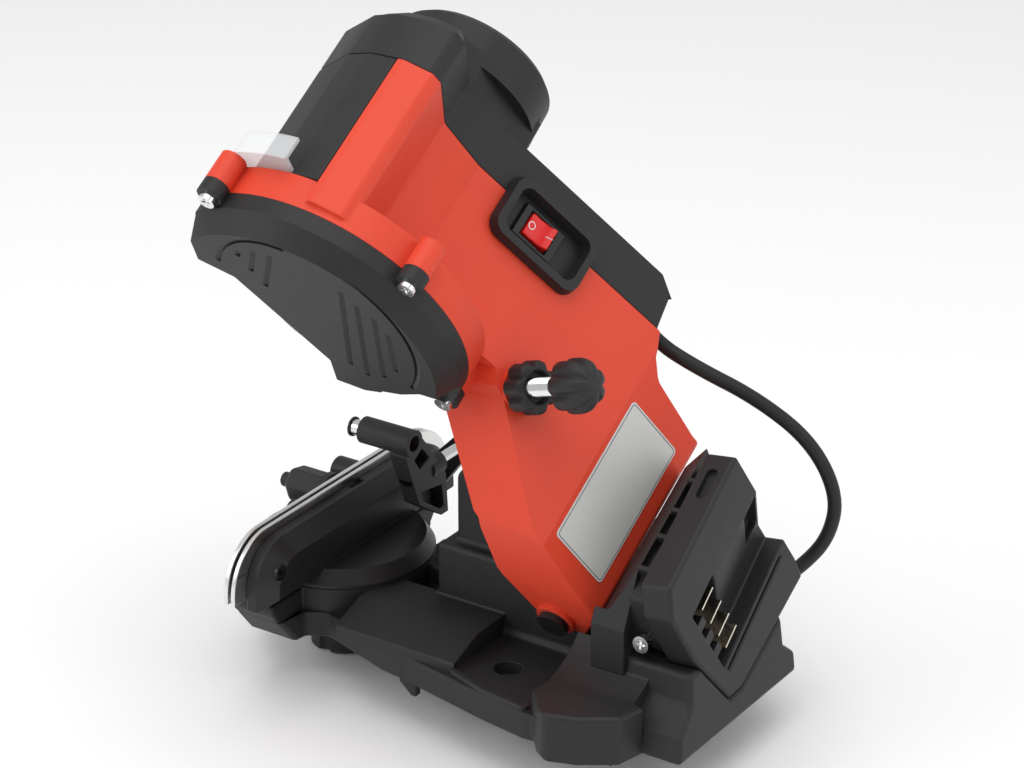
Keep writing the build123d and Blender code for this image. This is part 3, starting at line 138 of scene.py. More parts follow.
# ---------------------------------------------------------------- shader writing
class Signal:
    """A shader socket that can be used in arithmetic; each operation adds its Math node."""

    def __init__(self, sheet, socket):
        self.sheet = sheet
        self.socket = socket

    def math(self, operation, first, second):
        return self.sheet.node("ShaderNodeMath", {"operation": operation}, {0: first, 1: second})

    def __add__(self, other):
        return self.math("ADD", self, other)

    def __radd__(self, other):
        return self.math("ADD", other, self)

    def __mul__(self, other):
        return self.math("MULTIPLY", self, other)

    def __rmul__(self, other):
        return self.math("MULTIPLY", other, self)


class Finish:
    """One material under construction, with a principled shader at its end."""

    def __init__(self, name, **settings):
        self.material = bpy.data.materials.new(name)
        self.material.use_nodes = True
        self.tree = self.material.node_tree
        self.shader = self.tree.nodes["Principled BSDF"]
        for socket, value in settings.items():
            self.shader.inputs[socket.replace("_", " ").title()].default_value = value

    def node(self, kind, settings=None, inputs=None, output=0):
        made = self.tree.nodes.new(kind)
        for name, value in (settings or {}).items():
            setattr(made, name, value)
        for place, value in (inputs or {}).items():
            if isinstance(value, Signal):
                self.tree.links.new(value.socket, made.inputs[place])
            else:
                made.inputs[place].default_value = value
        return Signal(self, made.outputs[output])

    def place(self):
        return self.node("ShaderNodeTexCoord", output="Object")

    def noise(self, scale, detail, stretch=None):
        """Noise in object space; scale is its repeats to the metre."""
        where = self.place()
        if stretch:
            where = self.node("ShaderNodeMapping", {}, {"Vector": where, "Scale": stretch})
        return self.node("ShaderNodeTexNoise", {}, {"Vector": where, "Scale": scale, "Detail": detail})

    def tint(self, amount, dark, light):
        """Colour between two, by a signal from 0 to 1."""
        return self.node("ShaderNodeMix", {"data_type": "RGBA"},
                         {0: amount, 6: (*dark, 1), 7: (*light, 1)}, output=2)

    def feed(self, socket, signal):
        self.tree.links.new(signal.socket, self.shader.inputs[socket])

    def wear(self, roughness, *swings):
        """Roughness about a middle value; each swing is a noise and how far it moves the value in all."""
        lowest = roughness - sum(swing for marks, swing in swings) / 2
        self.feed("Roughness", sum((marks * swing for marks, swing in swings), lowest))

    def bump(self, height, distance):
        self.feed("Normal", self.node("ShaderNodeBump", {}, {"Distance": distance, "Height": height}))


SHEEN = 0.3                                                # specular level of moulded plastic
DRIFT = 35                                                 # noise repeats to the metre
HANDLING = 160
HAZE = 60
DRIFT_SHARE = 0.6                                          # of the colour's change, against the grain's
GRAIN_WEAR = 0.16                                          # swings of the roughness
DRIFT_WEAR = 0.08
LINE_WEAR = 0.18
HANDLING_WEAR = 0.12
LINE_DEPTH = 0.00001                                       # metres
DULL_SHARE = 0.82                                          # darkest plating against its tone


def moulded(name, dark, light, roughness, grain=1400, depth=0.00006):
    """Spark-eroded moulded plastic: fine grain, as deep as depth in metres, and a slow change of tone."""
    finish = Finish(name)
    finish.shader.inputs["Specular IOR Level"].default_value = SHEEN
    grains = finish.noise(grain, 1)
    drift = finish.noise(DRIFT, 2)
    finish.feed("Base Color", finish.tint(drift * DRIFT_SHARE + grains * (1 - DRIFT_SHARE), dark, light))
    finish.wear(roughness, (grains, GRAIN_WEAR), (drift, DRIFT_WEAR))
    finish.bump(grains, depth)
    return finish.material


def brushed(name, dark, light, roughness, stretch, scale=900):
    """Metal with fine lines along its length."""
    finish = Finish(name, metallic=1.0)
    lines = finish.noise(scale, 2, stretch)
    finish.feed("Base Color", finish.tint(lines, dark, light))
    finish.wear(roughness, (lines, LINE_WEAR))
    finish.bump(lines, LINE_DEPTH)
    return finish.material


def plated(name, tone, roughness):
    """Bright plated steel with faint handling marks."""
    finish = Finish(name, metallic=1.0)
    marks = finish.noise(HANDLING, 3)
    finish.feed("Base Color", finish.tint(marks, tuple(DULL_SHARE * part for part in tone), tone))
    finish.wear(roughness, (marks, HANDLING_WEAR))
    return finish.material


RED = moulded("red housing plastic", (0.64, 0.050, 0.022), (0.76, 0.068, 0.030), 0.46, depth=0.00004)
BLACK = moulded("black housing plastic", (0.014, 0.014, 0.015), (0.026, 0.026, 0.027), 0.50, depth=0.00008)
VISE_BLACK = moulded("vise coating", (0.014, 0.014, 0.015), (0.024, 0.024, 0.025), 0.42, 2200, 0.00003)
KNOB_BLACK = moulded("knob plastic", (0.018, 0.018, 0.019), (0.030, 0.030, 0.031), 0.52, 1800, 0.00006)
SWITCH_BLACK = moulded("switch plastic", (0.010, 0.010, 0.011), (0.016, 0.016, 0.017), 0.34, 2600, 0.00002)
ROCKER_RED = moulded("rocker plastic", (0.62, 0.012, 0.012), (0.74, 0.020, 0.018), 0.26, 2600, 0.00001)
MARK_WHITE = moulded("switch marks", (0.78, 0.78, 0.78), (0.88, 0.88, 0.88), 0.45, 2600, 0.00001)
PLATE_GREY = moulded("plate print", (0.56, 0.56, 0.55), (0.66, 0.66, 0.65), 0.38, 900, 0.00001)
PLATE_LINE = moulded("plate border print", (0.03, 0.03, 0.03), (0.05, 0.05, 0.05), 0.45, 900, 0.00001)
CORD_BLACK = moulded("cord rubber", (0.012, 0.012, 0.012), (0.022, 0.022, 0.022), 0.48, 1500, 0.00003)
RAIL_STEEL = brushed("rail steel", (0.70, 0.70, 0.69), (0.80, 0.80, 0.79), 0.30, (0.05, 1, 1), 500)
ROD_STEEL = brushed("rod steel", (0.60, 0.60, 0.60), (0.82, 0.82, 0.82), 0.22, (0.05, 1, 1))
BARE_STEEL = brushed("turned steel", (0.46, 0.46, 0.46), (0.66, 0.66, 0.66), 0.30, (1, 1, 1), 300)
CHROME = plated("plated screws", (0.86, 0.86, 0.86), 0.16)
BLADE_METAL = plated("terminal metal", (0.80, 0.74, 0.62), 0.22)
WINDING = brushed("windings", (0.42, 0.16, 0.06), (0.70, 0.30, 0.12), 0.36, (1, 1, 1), 500)


def clear_plastic():
    """See-through plastic of the spark visor, with a little haze."""
    finish = Finish("clear visor", roughness=0.22, alpha=0.42)
    haze = finish.noise(HAZE, 2)
    finish.feed("Base Color", finish.tint(haze, (0.80, 0.82, 0.84), (0.90, 0.91, 0.92)))
    return finish.material


CLEAR = clear_plastic()


# ---------------------------------------------------------------- pieces
WELD = 0.004
FLAT_ANGLE = 0.6                                           # degrees
ROUNDED_ANGLE = 32                                         # edges that turn more than this are rounded
CREASED_ANGLE = 38                                         # edges that turn more than this keep a crease
ROUNDING_STEPS = 3
FLATNESS = 90                                              # how much large faces lead the shading
SEAM_REACH = 0.4
SEAM_RADIUS = 0.5
BODY_SPLIT = 84                                            # u where the red and the black housing meet
SIDE_SHARE = 0.44                                          # of a span, for the rounding from each side
WIDTH_SHARE = 0.84                                         # of a face's area over its outline
SQUARE_SINE = 0.35
POINTED_COSINE = -0.8
CHAIN_COSINE = 0.7


def show(name, data):
    piece = bpy.data.objects.new(name, data)
    bpy.context.scene.collection.objects.link(piece)
    return piece


def dress(mesh, material):
    mesh.materials.clear()
    mesh.materials.append(material)


def link(name, mesh, body, material):
    piece = show(name, mesh)
    dress(mesh, material)
    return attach(piece, body)


def baked(piece):
    """Plain mesh of a piece with its modifiers carried out."""
    bpy.context.view_layer.update()
    return bpy.data.meshes.new_from_object(piece.evaluated_get(bpy.context.evaluated_depsgraph_get()))


def whole_mesh(node):
    """The node's mesh with its loose triangles joined and its flat faces made whole."""
    mesh = bmesh.new()
    mesh.from_mesh(frame["nodes"][node].data)
    bmesh.ops.remove_doubles(mesh, verts=mesh.verts, dist=WELD * MM)
    bmesh.ops.dissolve_limit(mesh, angle_limit=math.radians(FLAT_ANGLE), verts=mesh.verts, edges=mesh.edges)
    made = bpy.data.meshes.new(node)
    mesh.to_mesh(made)
    mesh.free()
    return made


def span_across(edge, other):
    """Distance from an edge to the ends of another that lie square to it."""
    start, run = edge.verts[0].co, edge.verts[1].co - edge.verts[0].co
    spans = [math.inf]
    for vertex in other.verts:
        share = (vertex.co - start).dot(run) / run.length_squared
        if 0 <= share <= 1:
            spans.append((vertex.co - start - run * share).length)
    return min(spans)


def edge_room(edge):
    """Widest rounding, in metres, that an edge has room for beside its neighbours."""
    spans = []
    for loop in edge.link_loops:
        run = (loop.link_loop_next.vert.co - loop.vert.co).normalized()
        pointed = len(loop.face.verts) == 3
        for beside in (loop.link_loop_prev, loop.link_loop_next):
            side = beside.link_loop_next.vert.co - beside.vert.co
            sine = run.cross(side.normalized()).length
            if sine > SQUARE_SINE:
                spans.append(SIDE_SHARE * side.length * sine)
            pointed = pointed or run.dot(side.normalized()) < POINTED_COSINE
        for other in loop.face.edges:
            if not set(edge.verts) & set(other.verts):
                spans += [SIDE_SHARE * span_across(edge, other), SIDE_SHARE * span_across(other, edge)]
        if pointed or len(loop.face.verts) > 4:
            outline = sum(each.calc_length() for each in loop.face.edges)
            spans.append(WIDTH_SHARE * loop.face.calc_area() / outline)
    return min(spans, default=math.inf)


def on_seam(edge, seam):
    return all(abs((vertex.co / MM - SPINDLE).dot(ALONG) - seam) < SEAM_REACH for vertex in edge.verts)


def run_on(edge, vertex):
    """Edges that leave a vertex in nearly the line of the given one."""
    out = (edge.other_vert(vertex).co - vertex.co).normalized()
    return [beside for beside in vertex.link_edges
            if abs(out.dot((beside.other_vert(vertex).co - vertex.co).normalized())) > CHAIN_COSINE]


def weigh_edges(mesh, radius, seams):
    """Gives each sharp edge the share of the radius that it and the edges in line with it have room for.

    Edges on a seam plane stay crisp."""
    shell = bmesh.new()
    shell.from_mesh(mesh)
    weight = shell.edges.layers.float.new("bevel_weight_edge")
    waiting = {}
    for edge in shell.edges:
        if len(edge.link_faces) == 2 and edge.calc_face_angle(0) >= math.radians(ROUNDED_ANGLE):
            waiting[edge] = min(1, edge_room(edge) / (radius * MM))
            if any(on_seam(edge, seam) for seam in seams):
                waiting[edge] = min(waiting[edge], SEAM_RADIUS / radius)
    while waiting:
        chain = [next(iter(waiting))]
        shares = [waiting.pop(chain[0])]
        for edge in chain:
            for beside in run_on(edge, edge.verts[0]) + run_on(edge, edge.verts[1]):
                if beside in waiting:
                    chain.append(beside)
                    shares.append(waiting.pop(beside))
        for edge in chain:
            edge[weight] = min(shares)
    shell.to_mesh(mesh)
    shell.free()


def softened(node, radius, material, cutter=None, seams=()):
    """Replaces a node by a copy with rounded edges, after taking a cutter's shape out of it."""
    piece = show(node + "_moulding", whole_mesh(node))
    weigh_edges(piece.data, radius, seams)
    piece.data.shade_smooth()
    piece.data.set_sharp_from_angle(angle=math.radians(CREASED_ANGLE))
    rounding = piece.modifiers.new("rounding", "BEVEL")
    rounding.width = radius * MM
    rounding.segments = ROUNDING_STEPS
    rounding.limit_method = "WEIGHT"
    rounding.use_clamp_overlap = False
    if cutter:
        carve = piece.modifiers.new("carve", "BOOLEAN")
        carve.operation = "DIFFERENCE"
        carve.solver = "EXACT"
        carve.object = cutter
    shading = piece.modifiers.new("shading", "WEIGHTED_NORMAL")
    shading.weight = FLATNESS
    shading.keep_sharp = True
    mesh = baked(piece)
    piece.modifiers.clear()
    piece.data = mesh
    mesh.name = piece.name
    dress(mesh, material)
    if cutter:
        bpy.data.objects.remove(cutter)
    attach(piece, frame["nodes"][node]["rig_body"])
    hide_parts(node)


def polygon_mesh(name, points, faces, creased=None):
    """Mesh from points in metres and their faces, smooth up to an angle where one is given."""
    mesh = bpy.data.meshes.new(name)
    mesh.from_pydata(points, [], faces)
    mesh.validate()
    shell = bmesh.new()
    shell.from_mesh(mesh)
    bmesh.ops.recalc_face_normals(shell, faces=shell.faces)
    shell.to_mesh(mesh)
    shell.free()
    if creased:
        mesh.shade_smooth()
        mesh.set_sharp_from_angle(angle=math.radians(creased))
    return mesh


def coated(material, *nodes):
    """Gives nodes whose shape stays as it is their material."""
    for node in nodes:
        dress(frame["nodes"][node].data, material)


# ---------------------------------------------------------------- grooves in the wheel cover
COVER_FACE = -8                                            # u
GROOVE_DEPTH = 0.9
GROOVE_LIFT = 0.6                                          # of the cutter above the face
GROOVE_RUNOUT = 0.05
LINE_WIDTH = 2.6
ARC_WIDTH = 2.4


def arc_through(first, middle, last, steps):
    """Points on the circle through three points, from the first to the last."""
    (ax, ay), (bx, by), (cx, cy) = first, middle, last
    twice = 2 * (ax * (by - cy) + bx * (cy - ay) + cx * (ay - by))
    squares = [x * x + y * y for x, y in (first, middle, last)]
    centre_x = (squares[0] * (by - cy) + squares[1] * (cy - ay) + squares[2] * (ay - by)) / twice
    centre_y = (squares[0] * (cx - bx) + squares[1] * (ax - cx) + squares[2] * (bx - ax)) / twice
    radius = math.hypot(ax - centre_x, ay - centre_y)
    start, between, end = (math.atan2(y - centre_y, x - centre_x) for x, y in (first, middle, last))
    turn = (end - start) % math.tau
    if (between - start) % math.tau > turn:
        turn -= math.tau
    return [(centre_x + radius * math.cos(start + turn * step / steps),
             centre_y + radius * math.sin(start + turn * step / steps)) for step in range(steps + 1)]


def groove(points, width):
    """Wedge along a line on the cover's face: steep on the line and sloping up to its left.

    A negative width makes it slope up to the right."""
    to_world = head_frame(COVER_FACE)
    rows = []
    for index, (v, y) in enumerate(points):
        before, after = points[max(index - 1, 0)], points[min(index + 1, len(points) - 1)]
        run = Vector((after[0] - before[0], after[1] - before[1])).normalized()
        far = (v - run.y * width, y + run.x * width)
        rows += [to_world @ Vector(corner) for corner in
                 ((v, y, -GROOVE_LIFT), (v, y, GROOVE_DEPTH), (*far, -GROOVE_RUNOUT), (*far, -GROOVE_LIFT))]
    faces = [(0, 1, 2, 3), tuple(len(rows) - 4 + corner for corner in (3, 2, 1, 0))]
    for row in range(0, len(rows) - 4, 4):
        faces += [(row + corner, row + (corner + 1) % 4, row + 4 + (corner + 1) % 4, row + 4 + corner)
                  for corner in range(4)]
    return rows, faces


def cover_grooves():
    """Cutter with all grooves; points are v and y from the spindle."""
    long_lines = [((36.3, 32.9), (-16.5, 16.3)), ((29.4, 37.4), (-21.5, 22.6)), ((22.9, 43), (-19.4, 31.1)),
                  ((14.1, 46.0), (-12.5, 39.5))]
    short_lines = [((46.3, -11.7), (42.4, -13.9)), ((48.8, -3.4), (33.9, -11.1)), ((48.7, 4.5), (25.5, -7.7))]
    lines = [groove(line, LINE_WIDTH) for line in long_lines + short_lines]
    lines.append(groove(arc_through((46.2, 36.2), (9, 52.2), (-21.4, 41.5), 18), -ARC_WIDTH))
    lines.append(groove(arc_through((54.6, 12.3), (52.2, -11), (35.2, -26.4), 12), ARC_WIDTH))
    points, faces = [], []
    for rows, sides in lines:
        faces += [tuple(len(points) + corner for corner in side) for side in sides]
        points += rows
    return show("cover_grooves", polygon_mesh("cover_grooves", points, faces))


# ---------------------------------------------------------------- switch marks and plate border
SWITCH_U = 79.4
SWITCH_RISE = 72
MARK_LIFT = 0.06
CORNER_STEPS = 5
ROCKER_SEAT = -3                                           # the rocker's pivot below the arm's face
RING_RISE = 4.5
RING_HEIGHT = 3.31
RING_LEAN = math.radians(3)
RING_RADIUS = 1.75
RING_BORE = 1.4
RING_STEPS = 32
BAR_RISE = -4
BAR_HEIGHT = 4.94
BAR_LEAN = math.radians(-36.2)
BAR_WIDTH = 0.36
BAR_LENGTH = 3.2
BAR_CORNER = 0.1
SLIT_WIDTH = 0.1
SLIT_LENGTH = 2.9
SLIT_CORNER = 0.02


def flat_ring(outer, inner, to_world):
    """Points and faces of a flat band between two loops of equal count."""
    count = len(outer)
    points = [to_world @ Vector((x, y, 0)) for x, y in outer + inner]
    faces = [(corner, (corner + 1) % count, count + (corner + 1) % count, count + corner)
             for corner in range(count)]
    return points, faces


def circle(radius, count):
    return [(radius * math.cos(math.tau * step / count), radius * math.sin(math.tau * step / count))
            for step in range(count)]


def rounded_box(width, height, radius, centre=(0, 0)):
    """Loop of a rectangle with round corners."""
    loop = []
    for quarter, (side_x, side_y) in enumerate(((1, 1), (-1, 1), (-1, -1), (1, -1))):
        for step in range(CORNER_STEPS + 1):
            angle = math.pi / 2 * (quarter + step / CORNER_STEPS)
            loop.append((centre[0] + side_x * (width / 2 - radius) + radius * math.cos(angle),
                         centre[1] + side_y * (height / 2 - radius) + radius * math.sin(angle)))
    return loop


def switch_marks():
    """The ring and the bar printed on the rocker."""
    pivot = rear_frame(UPPER_LEAN) @ Matrix.Translation((SWITCH_U, SWITCH_RISE, ROCKER_SEAT))

    def on_face(rise, height, lean):
        return pivot @ Matrix.Translation((0, rise, height + MARK_LIFT)) @ Matrix.Rotation(lean, 4, "X")

    ring = flat_ring(circle(RING_RADIUS, RING_STEPS), circle(RING_BORE, RING_STEPS),
                     on_face(RING_RISE, RING_HEIGHT, RING_LEAN))
    link("switch_off_mark", polygon_mesh("switch_off_mark", *ring), "rocker", MARK_WHITE)
    bar = flat_ring(rounded_box(BAR_WIDTH, BAR_LENGTH, BAR_CORNER),
                    rounded_box(SLIT_WIDTH, SLIT_LENGTH, SLIT_CORNER),
                    on_face(BAR_RISE, BAR_HEIGHT, BAR_LEAN))
    link("switch_on_mark", polygon_mesh("switch_on_mark", *bar), "rocker", MARK_WHITE)


PLATE_LEFT = -16.6
PLATE_RIGHT = 52
PLATE_TOP = -2.4
PLATE_DROP = 33
PLATE_THICKNESS = 0.4
BORDER_INSET = 0.8
BORDER_CORNER = 1.6
BORDER_WIDTH = 0.3


def plate_border():
    """Thin dark line printed inside the blank plate's edge."""
    centre = ((PLATE_LEFT + PLATE_RIGHT) / 2, PLATE_TOP - PLATE_DROP / 2)

    def loop(inset, corner):
        return rounded_box(PLATE_RIGHT - PLATE_LEFT - 2 * inset, PLATE_DROP - 2 * inset, corner, centre)

    outer = loop(BORDER_INSET, BORDER_CORNER)
    inner = loop(BORDER_INSET + BORDER_WIDTH, BORDER_CORNER - BORDER_WIDTH)
    line = flat_ring(outer, inner, rear_frame(LOWER_LEAN, PLATE_THICKNESS + MARK_LIFT))
    link("plate_border", polygon_mesh("plate_border", *line), "head", PLATE_LINE)


# ---------------------------------------------------------------- fluted knobs and the threaded depth screw
DEPTH_SCREW_U = 21.2
DEPTH_SCREW_RISE = 44.2                                    # above the arm's crease
DEPTH_SCREW_LEAN = 24                                      # degrees
LOBES = 7
LOBE_STEPS = 16
NOTCH_DEPTH = 2.4
NOTCH_POWER = 2.6                                          # higher for narrower notches
KNOB_CREASE = 42


def depth_frame():
    """Local z runs outwards along the depth screw from the arm's rear face."""
    root = rear_frame(UPPER_LEAN) @ Vector((DEPTH_SCREW_U, DEPTH_SCREW_RISE, 0)) / MM
    normal = rear_normal(DEPTH_SCREW_LEAN)
    return placed(root, ALONG, normal.cross(ALONG), normal)


def fluted_knob(node, rows, to_world, material):
    """Turned knob: rows are radius, height and how deep the finger notches cut there, from 0 to 1."""
    around = LOBES * LOBE_STEPS
    points, faces = [], []
    for radius, height, notch in rows:
        for step in range(around):
            wave = 0.5 + 0.5 * math.cos(math.tau * step / LOBE_STEPS)
            reach = radius - NOTCH_DEPTH * notch * wave ** NOTCH_POWER
            angle = math.tau * step / around
            points.append(to_world @ Vector((reach * math.cos(angle), reach * math.sin(angle), height)))
    for row in range(len(rows)):
        following = (row + 1) % len(rows)
        faces += [(row * around + step, row * around + (step + 1) % around,
                   following * around + (step + 1) % around, following * around + step)
                  for step in range(around)]
    mesh = polygon_mesh(node + "_fluted", points, faces, KNOB_CREASE)
    piece = link(node + "_fluted", mesh, frame["nodes"][node]["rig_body"], material)
    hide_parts(node)


TURN_STEPS = 24
RIDGE_SIDES = 4
CORE_SIDES = 40
THREAD_CREASE = 50


def threaded_rod(node, radius, root, pitch, start, end, to_world, material):
    """Rod with a helical thread, grown along local z by a node tree with named sizes."""
    tree = bpy.data.node_groups.new(node + "_thread", "GeometryNodeTree")
    sizes = {"Root Radius": root * MM, "Thread Depth": (radius - root) * MM, "Length": (end - start) * MM,
             "Turns": (end - start) / pitch}
    sockets = {name: tree.interface.new_socket(name, in_out="INPUT", socket_type="NodeSocketFloat")
               for name in sizes}
    tree.interface.new_socket("Geometry", in_out="OUTPUT", socket_type="NodeSocketGeometry")
    given = tree.nodes.new("NodeGroupInput")

    def grow(kind, settings, inputs):
        made = tree.nodes.new(kind)
        for name, value in settings.items():
            setattr(made, name, value)
        for name, value in inputs.items():
            if isinstance(value, bpy.types.NodeSocket):
                tree.links.new(value, made.inputs[name])
            else:
                made.inputs[name].default_value = value
        return made

    spiral = grow("GeometryNodeCurveSpiral", {}, {
        "Resolution": TURN_STEPS, "Rotations": given.outputs["Turns"],
        "Start Radius": given.outputs["Root Radius"], "End Radius": given.outputs["Root Radius"],
        "Height": given.outputs["Length"]})
    upright = grow("GeometryNodeSetCurveNormal", {"mode": "Z_UP"}, {"Curve": spiral.outputs["Curve"]})
    ridge = grow("GeometryNodeCurvePrimitiveCircle", {}, {
        "Resolution": RIDGE_SIDES, "Radius": given.outputs["Thread Depth"]})
    thread = grow("GeometryNodeCurveToMesh", {}, {
        "Curve": upright.outputs["Curve"], "Profile Curve": ridge.outputs["Curve"], "Fill Caps": True})
    core = grow("GeometryNodeMeshCylinder", {}, {
        "Vertices": CORE_SIDES, "Radius": given.outputs["Root Radius"], "Depth": given.outputs["Length"]})
    half = grow("ShaderNodeMath", {"operation": "MULTIPLY"}, {})
    tree.links.new(given.outputs["Length"], half.inputs[0])
    half.inputs[1].default_value = 0.5
    lift = grow("ShaderNodeCombineXYZ", {}, {"Z": half.outputs[0]})
    raised = grow("GeometryNodeTransform", {}, {
        "Geometry": core.outputs["Mesh"], "Translation": lift.outputs[0]})
    joined = grow("GeometryNodeJoinGeometry", {}, {})
    tree.links.new(thread.outputs["Mesh"], joined.inputs["Geometry"])
    tree.links.new(raised.outputs["Geometry"], joined.inputs["Geometry"])
    realized = grow("GeometryNodeRealizeInstances", {}, {"Geometry": joined.outputs["Geometry"]})
    dressed = grow("GeometryNodeSetMaterial", {}, {
        "Geometry": realized.outputs["Geometry"], "Material": material})
    result = tree.nodes.new("NodeGroupOutput")
    tree.links.new(dressed.outputs["Geometry"], result.inputs["Geometry"])

    maker = show(node + "_threaded", bpy.data.meshes.new(node + "_seed"))
    growth = maker.modifiers.new("thread", "NODES")
    growth.node_group = tree
    for name, socket in sockets.items():
        growth[socket.identifier] = sizes[name]
    mesh = baked(maker)
    maker.modifiers.clear()
    mesh.transform(to_world @ Matrix.Translation((0, 0, start)) @ Matrix.Scale(1 / MM, 4))
    mesh.shade_smooth()
    mesh.set_sharp_from_angle(angle=math.radians(THREAD_CREASE))
    maker.data = mesh
    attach(maker, frame["nodes"][node]["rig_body"])
    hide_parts(node)


# ---------------------------------------------------------------- cord
CORD_ROUTE = [(-53, 4.6, 139.9), (-56.2, 12.5, 128.6), (-59.8, 30.5, 119.6), (-69.9, 53.8, 107.6),
              (-78.6, 75.6, 90.2), (-81, 88, 67.6), (-76.7, 86.9, 49.1), (-70, 77.9, 35.8),
              (-56.5, 70, 29.5), (-43.5, 63.5, 25.5)]
CORD_DIAMETER = 6
CORD_STEPS = 16                                            # between two points of its route
CORD_ROUNDNESS = 6


def lay_cord():
    """The power cord, swept along its route between the head and the base."""
    curve = bpy.data.curves.new("cord_line", "CURVE")
    curve.dimensions = "3D"
    line = curve.splines.new("NURBS")
    line.points.add(len(CORD_ROUTE) - 1)
    for point, place in zip(line.points, CORD_ROUTE):
        point.co = (*(Vector(place) * MM), 1)
    line.order_u = 3
    line.use_endpoint_u = True
    curve.resolution_u = CORD_STEPS
    route = show("cord_line", curve)
    path = [tuple(vertex.co) for vertex in baked(route).vertices]
    curve.bevel_depth = CORD_DIAMETER / 2 * MM
    curve.bevel_resolution = CORD_ROUNDNESS
    curve.use_fill_caps = True
    tube = baked(route)
    bpy.data.objects.remove(route)
    tube.shade_smooth()
    tube.materials.append(CORD_BLACK)
    cord = show("power_cord", tube)
    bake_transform(cord)
    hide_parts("cord")


lay_cord()

# ---------------------------------------------------------------- mouldings and metal pieces
softened("red_housing", 2.6, RED, seams=(BODY_SPLIT,))
softened("wheel_cover", 1.2, BLACK, cutter=cover_grooves())
softened("motor_cover", 2.6, BLACK, seams=(BODY_SPLIT,))
softened("front_cover", 1.2, BLACK)
softened("switch_bezel", 1.4, BLACK)
softened("switch_frame", 0.4, SWITCH_BLACK)
softened("rocker", 0.6, ROCKER_RED)
softened("base", 2.2, BLACK)
softened("hinge_post", 1.2, BLACK)
softened("dock_housing", 1.8, BLACK)
softened("dock_tray", 1.6, BLACK)
softened("terminal_block", 0.3, SWITCH_BLACK)
softened("vise_table", 0.7, VISE_BLACK)
softened("front_jaw", 0.8, VISE_BLACK)
softened("front_rail", 0.35, RAIL_STEEL)
softened("rear_rail", 0.35, RAIL_STEEL)
softened("stop_arm", 0.6, KNOB_BLACK)
softened("stop_pin", 0.3, ROD_STEEL)

SCREW_RADIUS = 4                                           # M8, with its standard pitch
SCREW_ROOT = 3.4
SCREW_PITCH = 1.25
SCREW_INNER = -15
BORE = 4.05
KNOB_START = 28                                            # heights outwards along the depth screw
KNOB_RADIUS = 11.2
SCREW_HOLD = 6                                             # of the screw inside the ball knob
DOME_FOOT = 7
DOME_HEIGHT = 11
DOME_STEPS = 9
DOME_FADE = 1.3
AXIS_GAP = 0.05


def dome():
    """Rows of a quarter ellipse from the knob's side to its top, with the notches dying out."""
    rows = []
    for step in range(DOME_STEPS):
        angle = math.pi / 2 * step / DOME_STEPS
        rows.append((KNOB_RADIUS * math.cos(angle), DOME_FOOT + DOME_HEIGHT * math.sin(angle),
                     math.cos(angle) ** DOME_FADE))
    return rows


nut_rows = [(BORE, 0.8, 0), (7, 0.8, 0), (7, 2, 0), (9.4, 2, 0.5), (10.6, 2.5, 0.9), (11, 3.5, 1),
            (11, 10, 1), (10.6, 11, 0.9), (9.6, 11.6, 0.6), (7.4, 11.9, 0), (6.9, 11.6, 0), (6.3, 8.4, 0),
            (BORE, 8.2, 0)]
ball_rows = [(BORE, 0, 0), (7.4, 0, 0), (9.8, 0.5, 0.5), (10.9, 1.8, 0.9), (KNOB_RADIUS, 4, 1)] + dome() + [
    (AXIS_GAP, DOME_FOOT + DOME_HEIGHT, 0), (AXIS_GAP, SCREW_HOLD, 0), (BORE, SCREW_HOLD, 0)]
fluted_knob("lock_nut", nut_rows, depth_frame(), KNOB_BLACK)
fluted_knob("depth_knob", ball_rows, depth_frame() @ Matrix.Translation((0, 0, KNOB_START)), KNOB_BLACK)
threaded_rod("depth_screw", SCREW_RADIUS, SCREW_ROOT, SCREW_PITCH, SCREW_INNER, KNOB_START + SCREW_HOLD,
             depth_frame(), CHROME)
softened("clamp_knob", 0.8, KNOB_BLACK)
softened("stop_knob", 0.7, KNOB_BLACK)
softened("swivel_knob", 1.2, KNOB_BLACK)
softened("rating_plate", 0.12, PLATE_GREY)
switch_marks()
plate_border()
coated(CHROME, "cover_screws", "dock_screws", "clamp_screw", "swivel_bolt", "arbor_nut")
coated(BARE_STEEL, "inner_flange", "outer_flange", "pin_clip", "motor_can", "motor_bearings",
       "swivel_washer", "guide_pins", "return_spring")
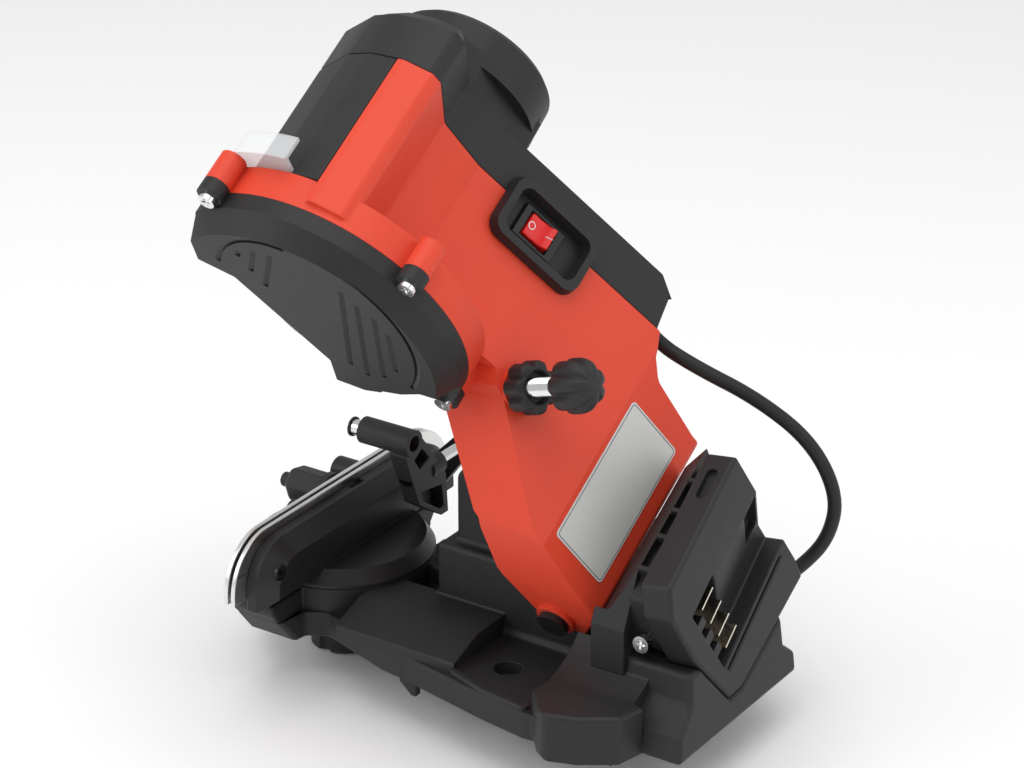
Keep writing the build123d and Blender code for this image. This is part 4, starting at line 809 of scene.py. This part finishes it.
coated(SWITCH_BLACK, "rail_screws", "hinge_pin")
coated(ROD_STEEL, "stop_rod")
coated(KNOB_BLACK, "stop_bush", "stop_clip", "cooling_fan")
coated(BLADE_METAL, "terminal_blades", "screw_insert")
coated(WINDING, "armature")
coated(CLEAR, "spark_visor")
coated(CORD_BLACK, "cord_relief_head", "cord_relief_dock")


# ---------------------------------------------------------------- floor and light
FLOOR_DROP = 23
FLOOR_REACH = 6000
SKY = 0.6                                                  # strength of the even white surround
MIDDLE = Vector((0, 0, 0.12))                              # metres, as are the lamps' places and sizes


def pale_floor():
    mesh = bpy.data.meshes.new("floor")
    corners = [(side_x * FLOOR_REACH * MM, side_y * FLOOR_REACH * MM, -FLOOR_DROP * MM)
               for side_x, side_y in ((-1, -1), (1, -1), (1, 1), (-1, 1))]
    mesh.from_pydata(corners, [], [(0, 1, 2, 3)])
    finish = Finish("pale floor", roughness=0.9)
    cloud = finish.noise(2, 1)
    finish.feed("Base Color", finish.tint(cloud, (0.96, 0.96, 0.96), (0.98, 0.98, 0.98)))
    mesh.materials.append(finish.material)
    floor = show("floor", mesh)


def soft_light(name, place, width, height, power):
    data = bpy.data.lights.new(name, "AREA")
    data.shape = "RECTANGLE"
    data.size = width
    data.size_y = height
    data.energy = power
    lamp = show(name, data)
    lamp.location = place
    lamp.rotation_mode = "QUATERNION"
    lamp.rotation_quaternion = (MIDDLE - Vector(place)).to_track_quat("-Z", "Y")


def studio():
    world = bpy.data.worlds.new("studio")
    world.use_nodes = True
    world.node_tree.nodes["Background"].inputs["Color"].default_value = (1, 1, 1, 1)
    world.node_tree.nodes["Background"].inputs["Strength"].default_value = SKY
    bpy.context.scene.world = world
    soft_light("overhead", (0.2, 0.1, 1.5), 1.4, 1.4, 11)
    soft_light("left", (1.2, -1.0, 0.9), 1.0, 1.0, 8)
    soft_light("right", (-0.4, 1.6, 0.8), 0.9, 1.2, 5)
    bpy.context.scene.view_settings.view_transform = "Standard"


pale_floor()
studio()
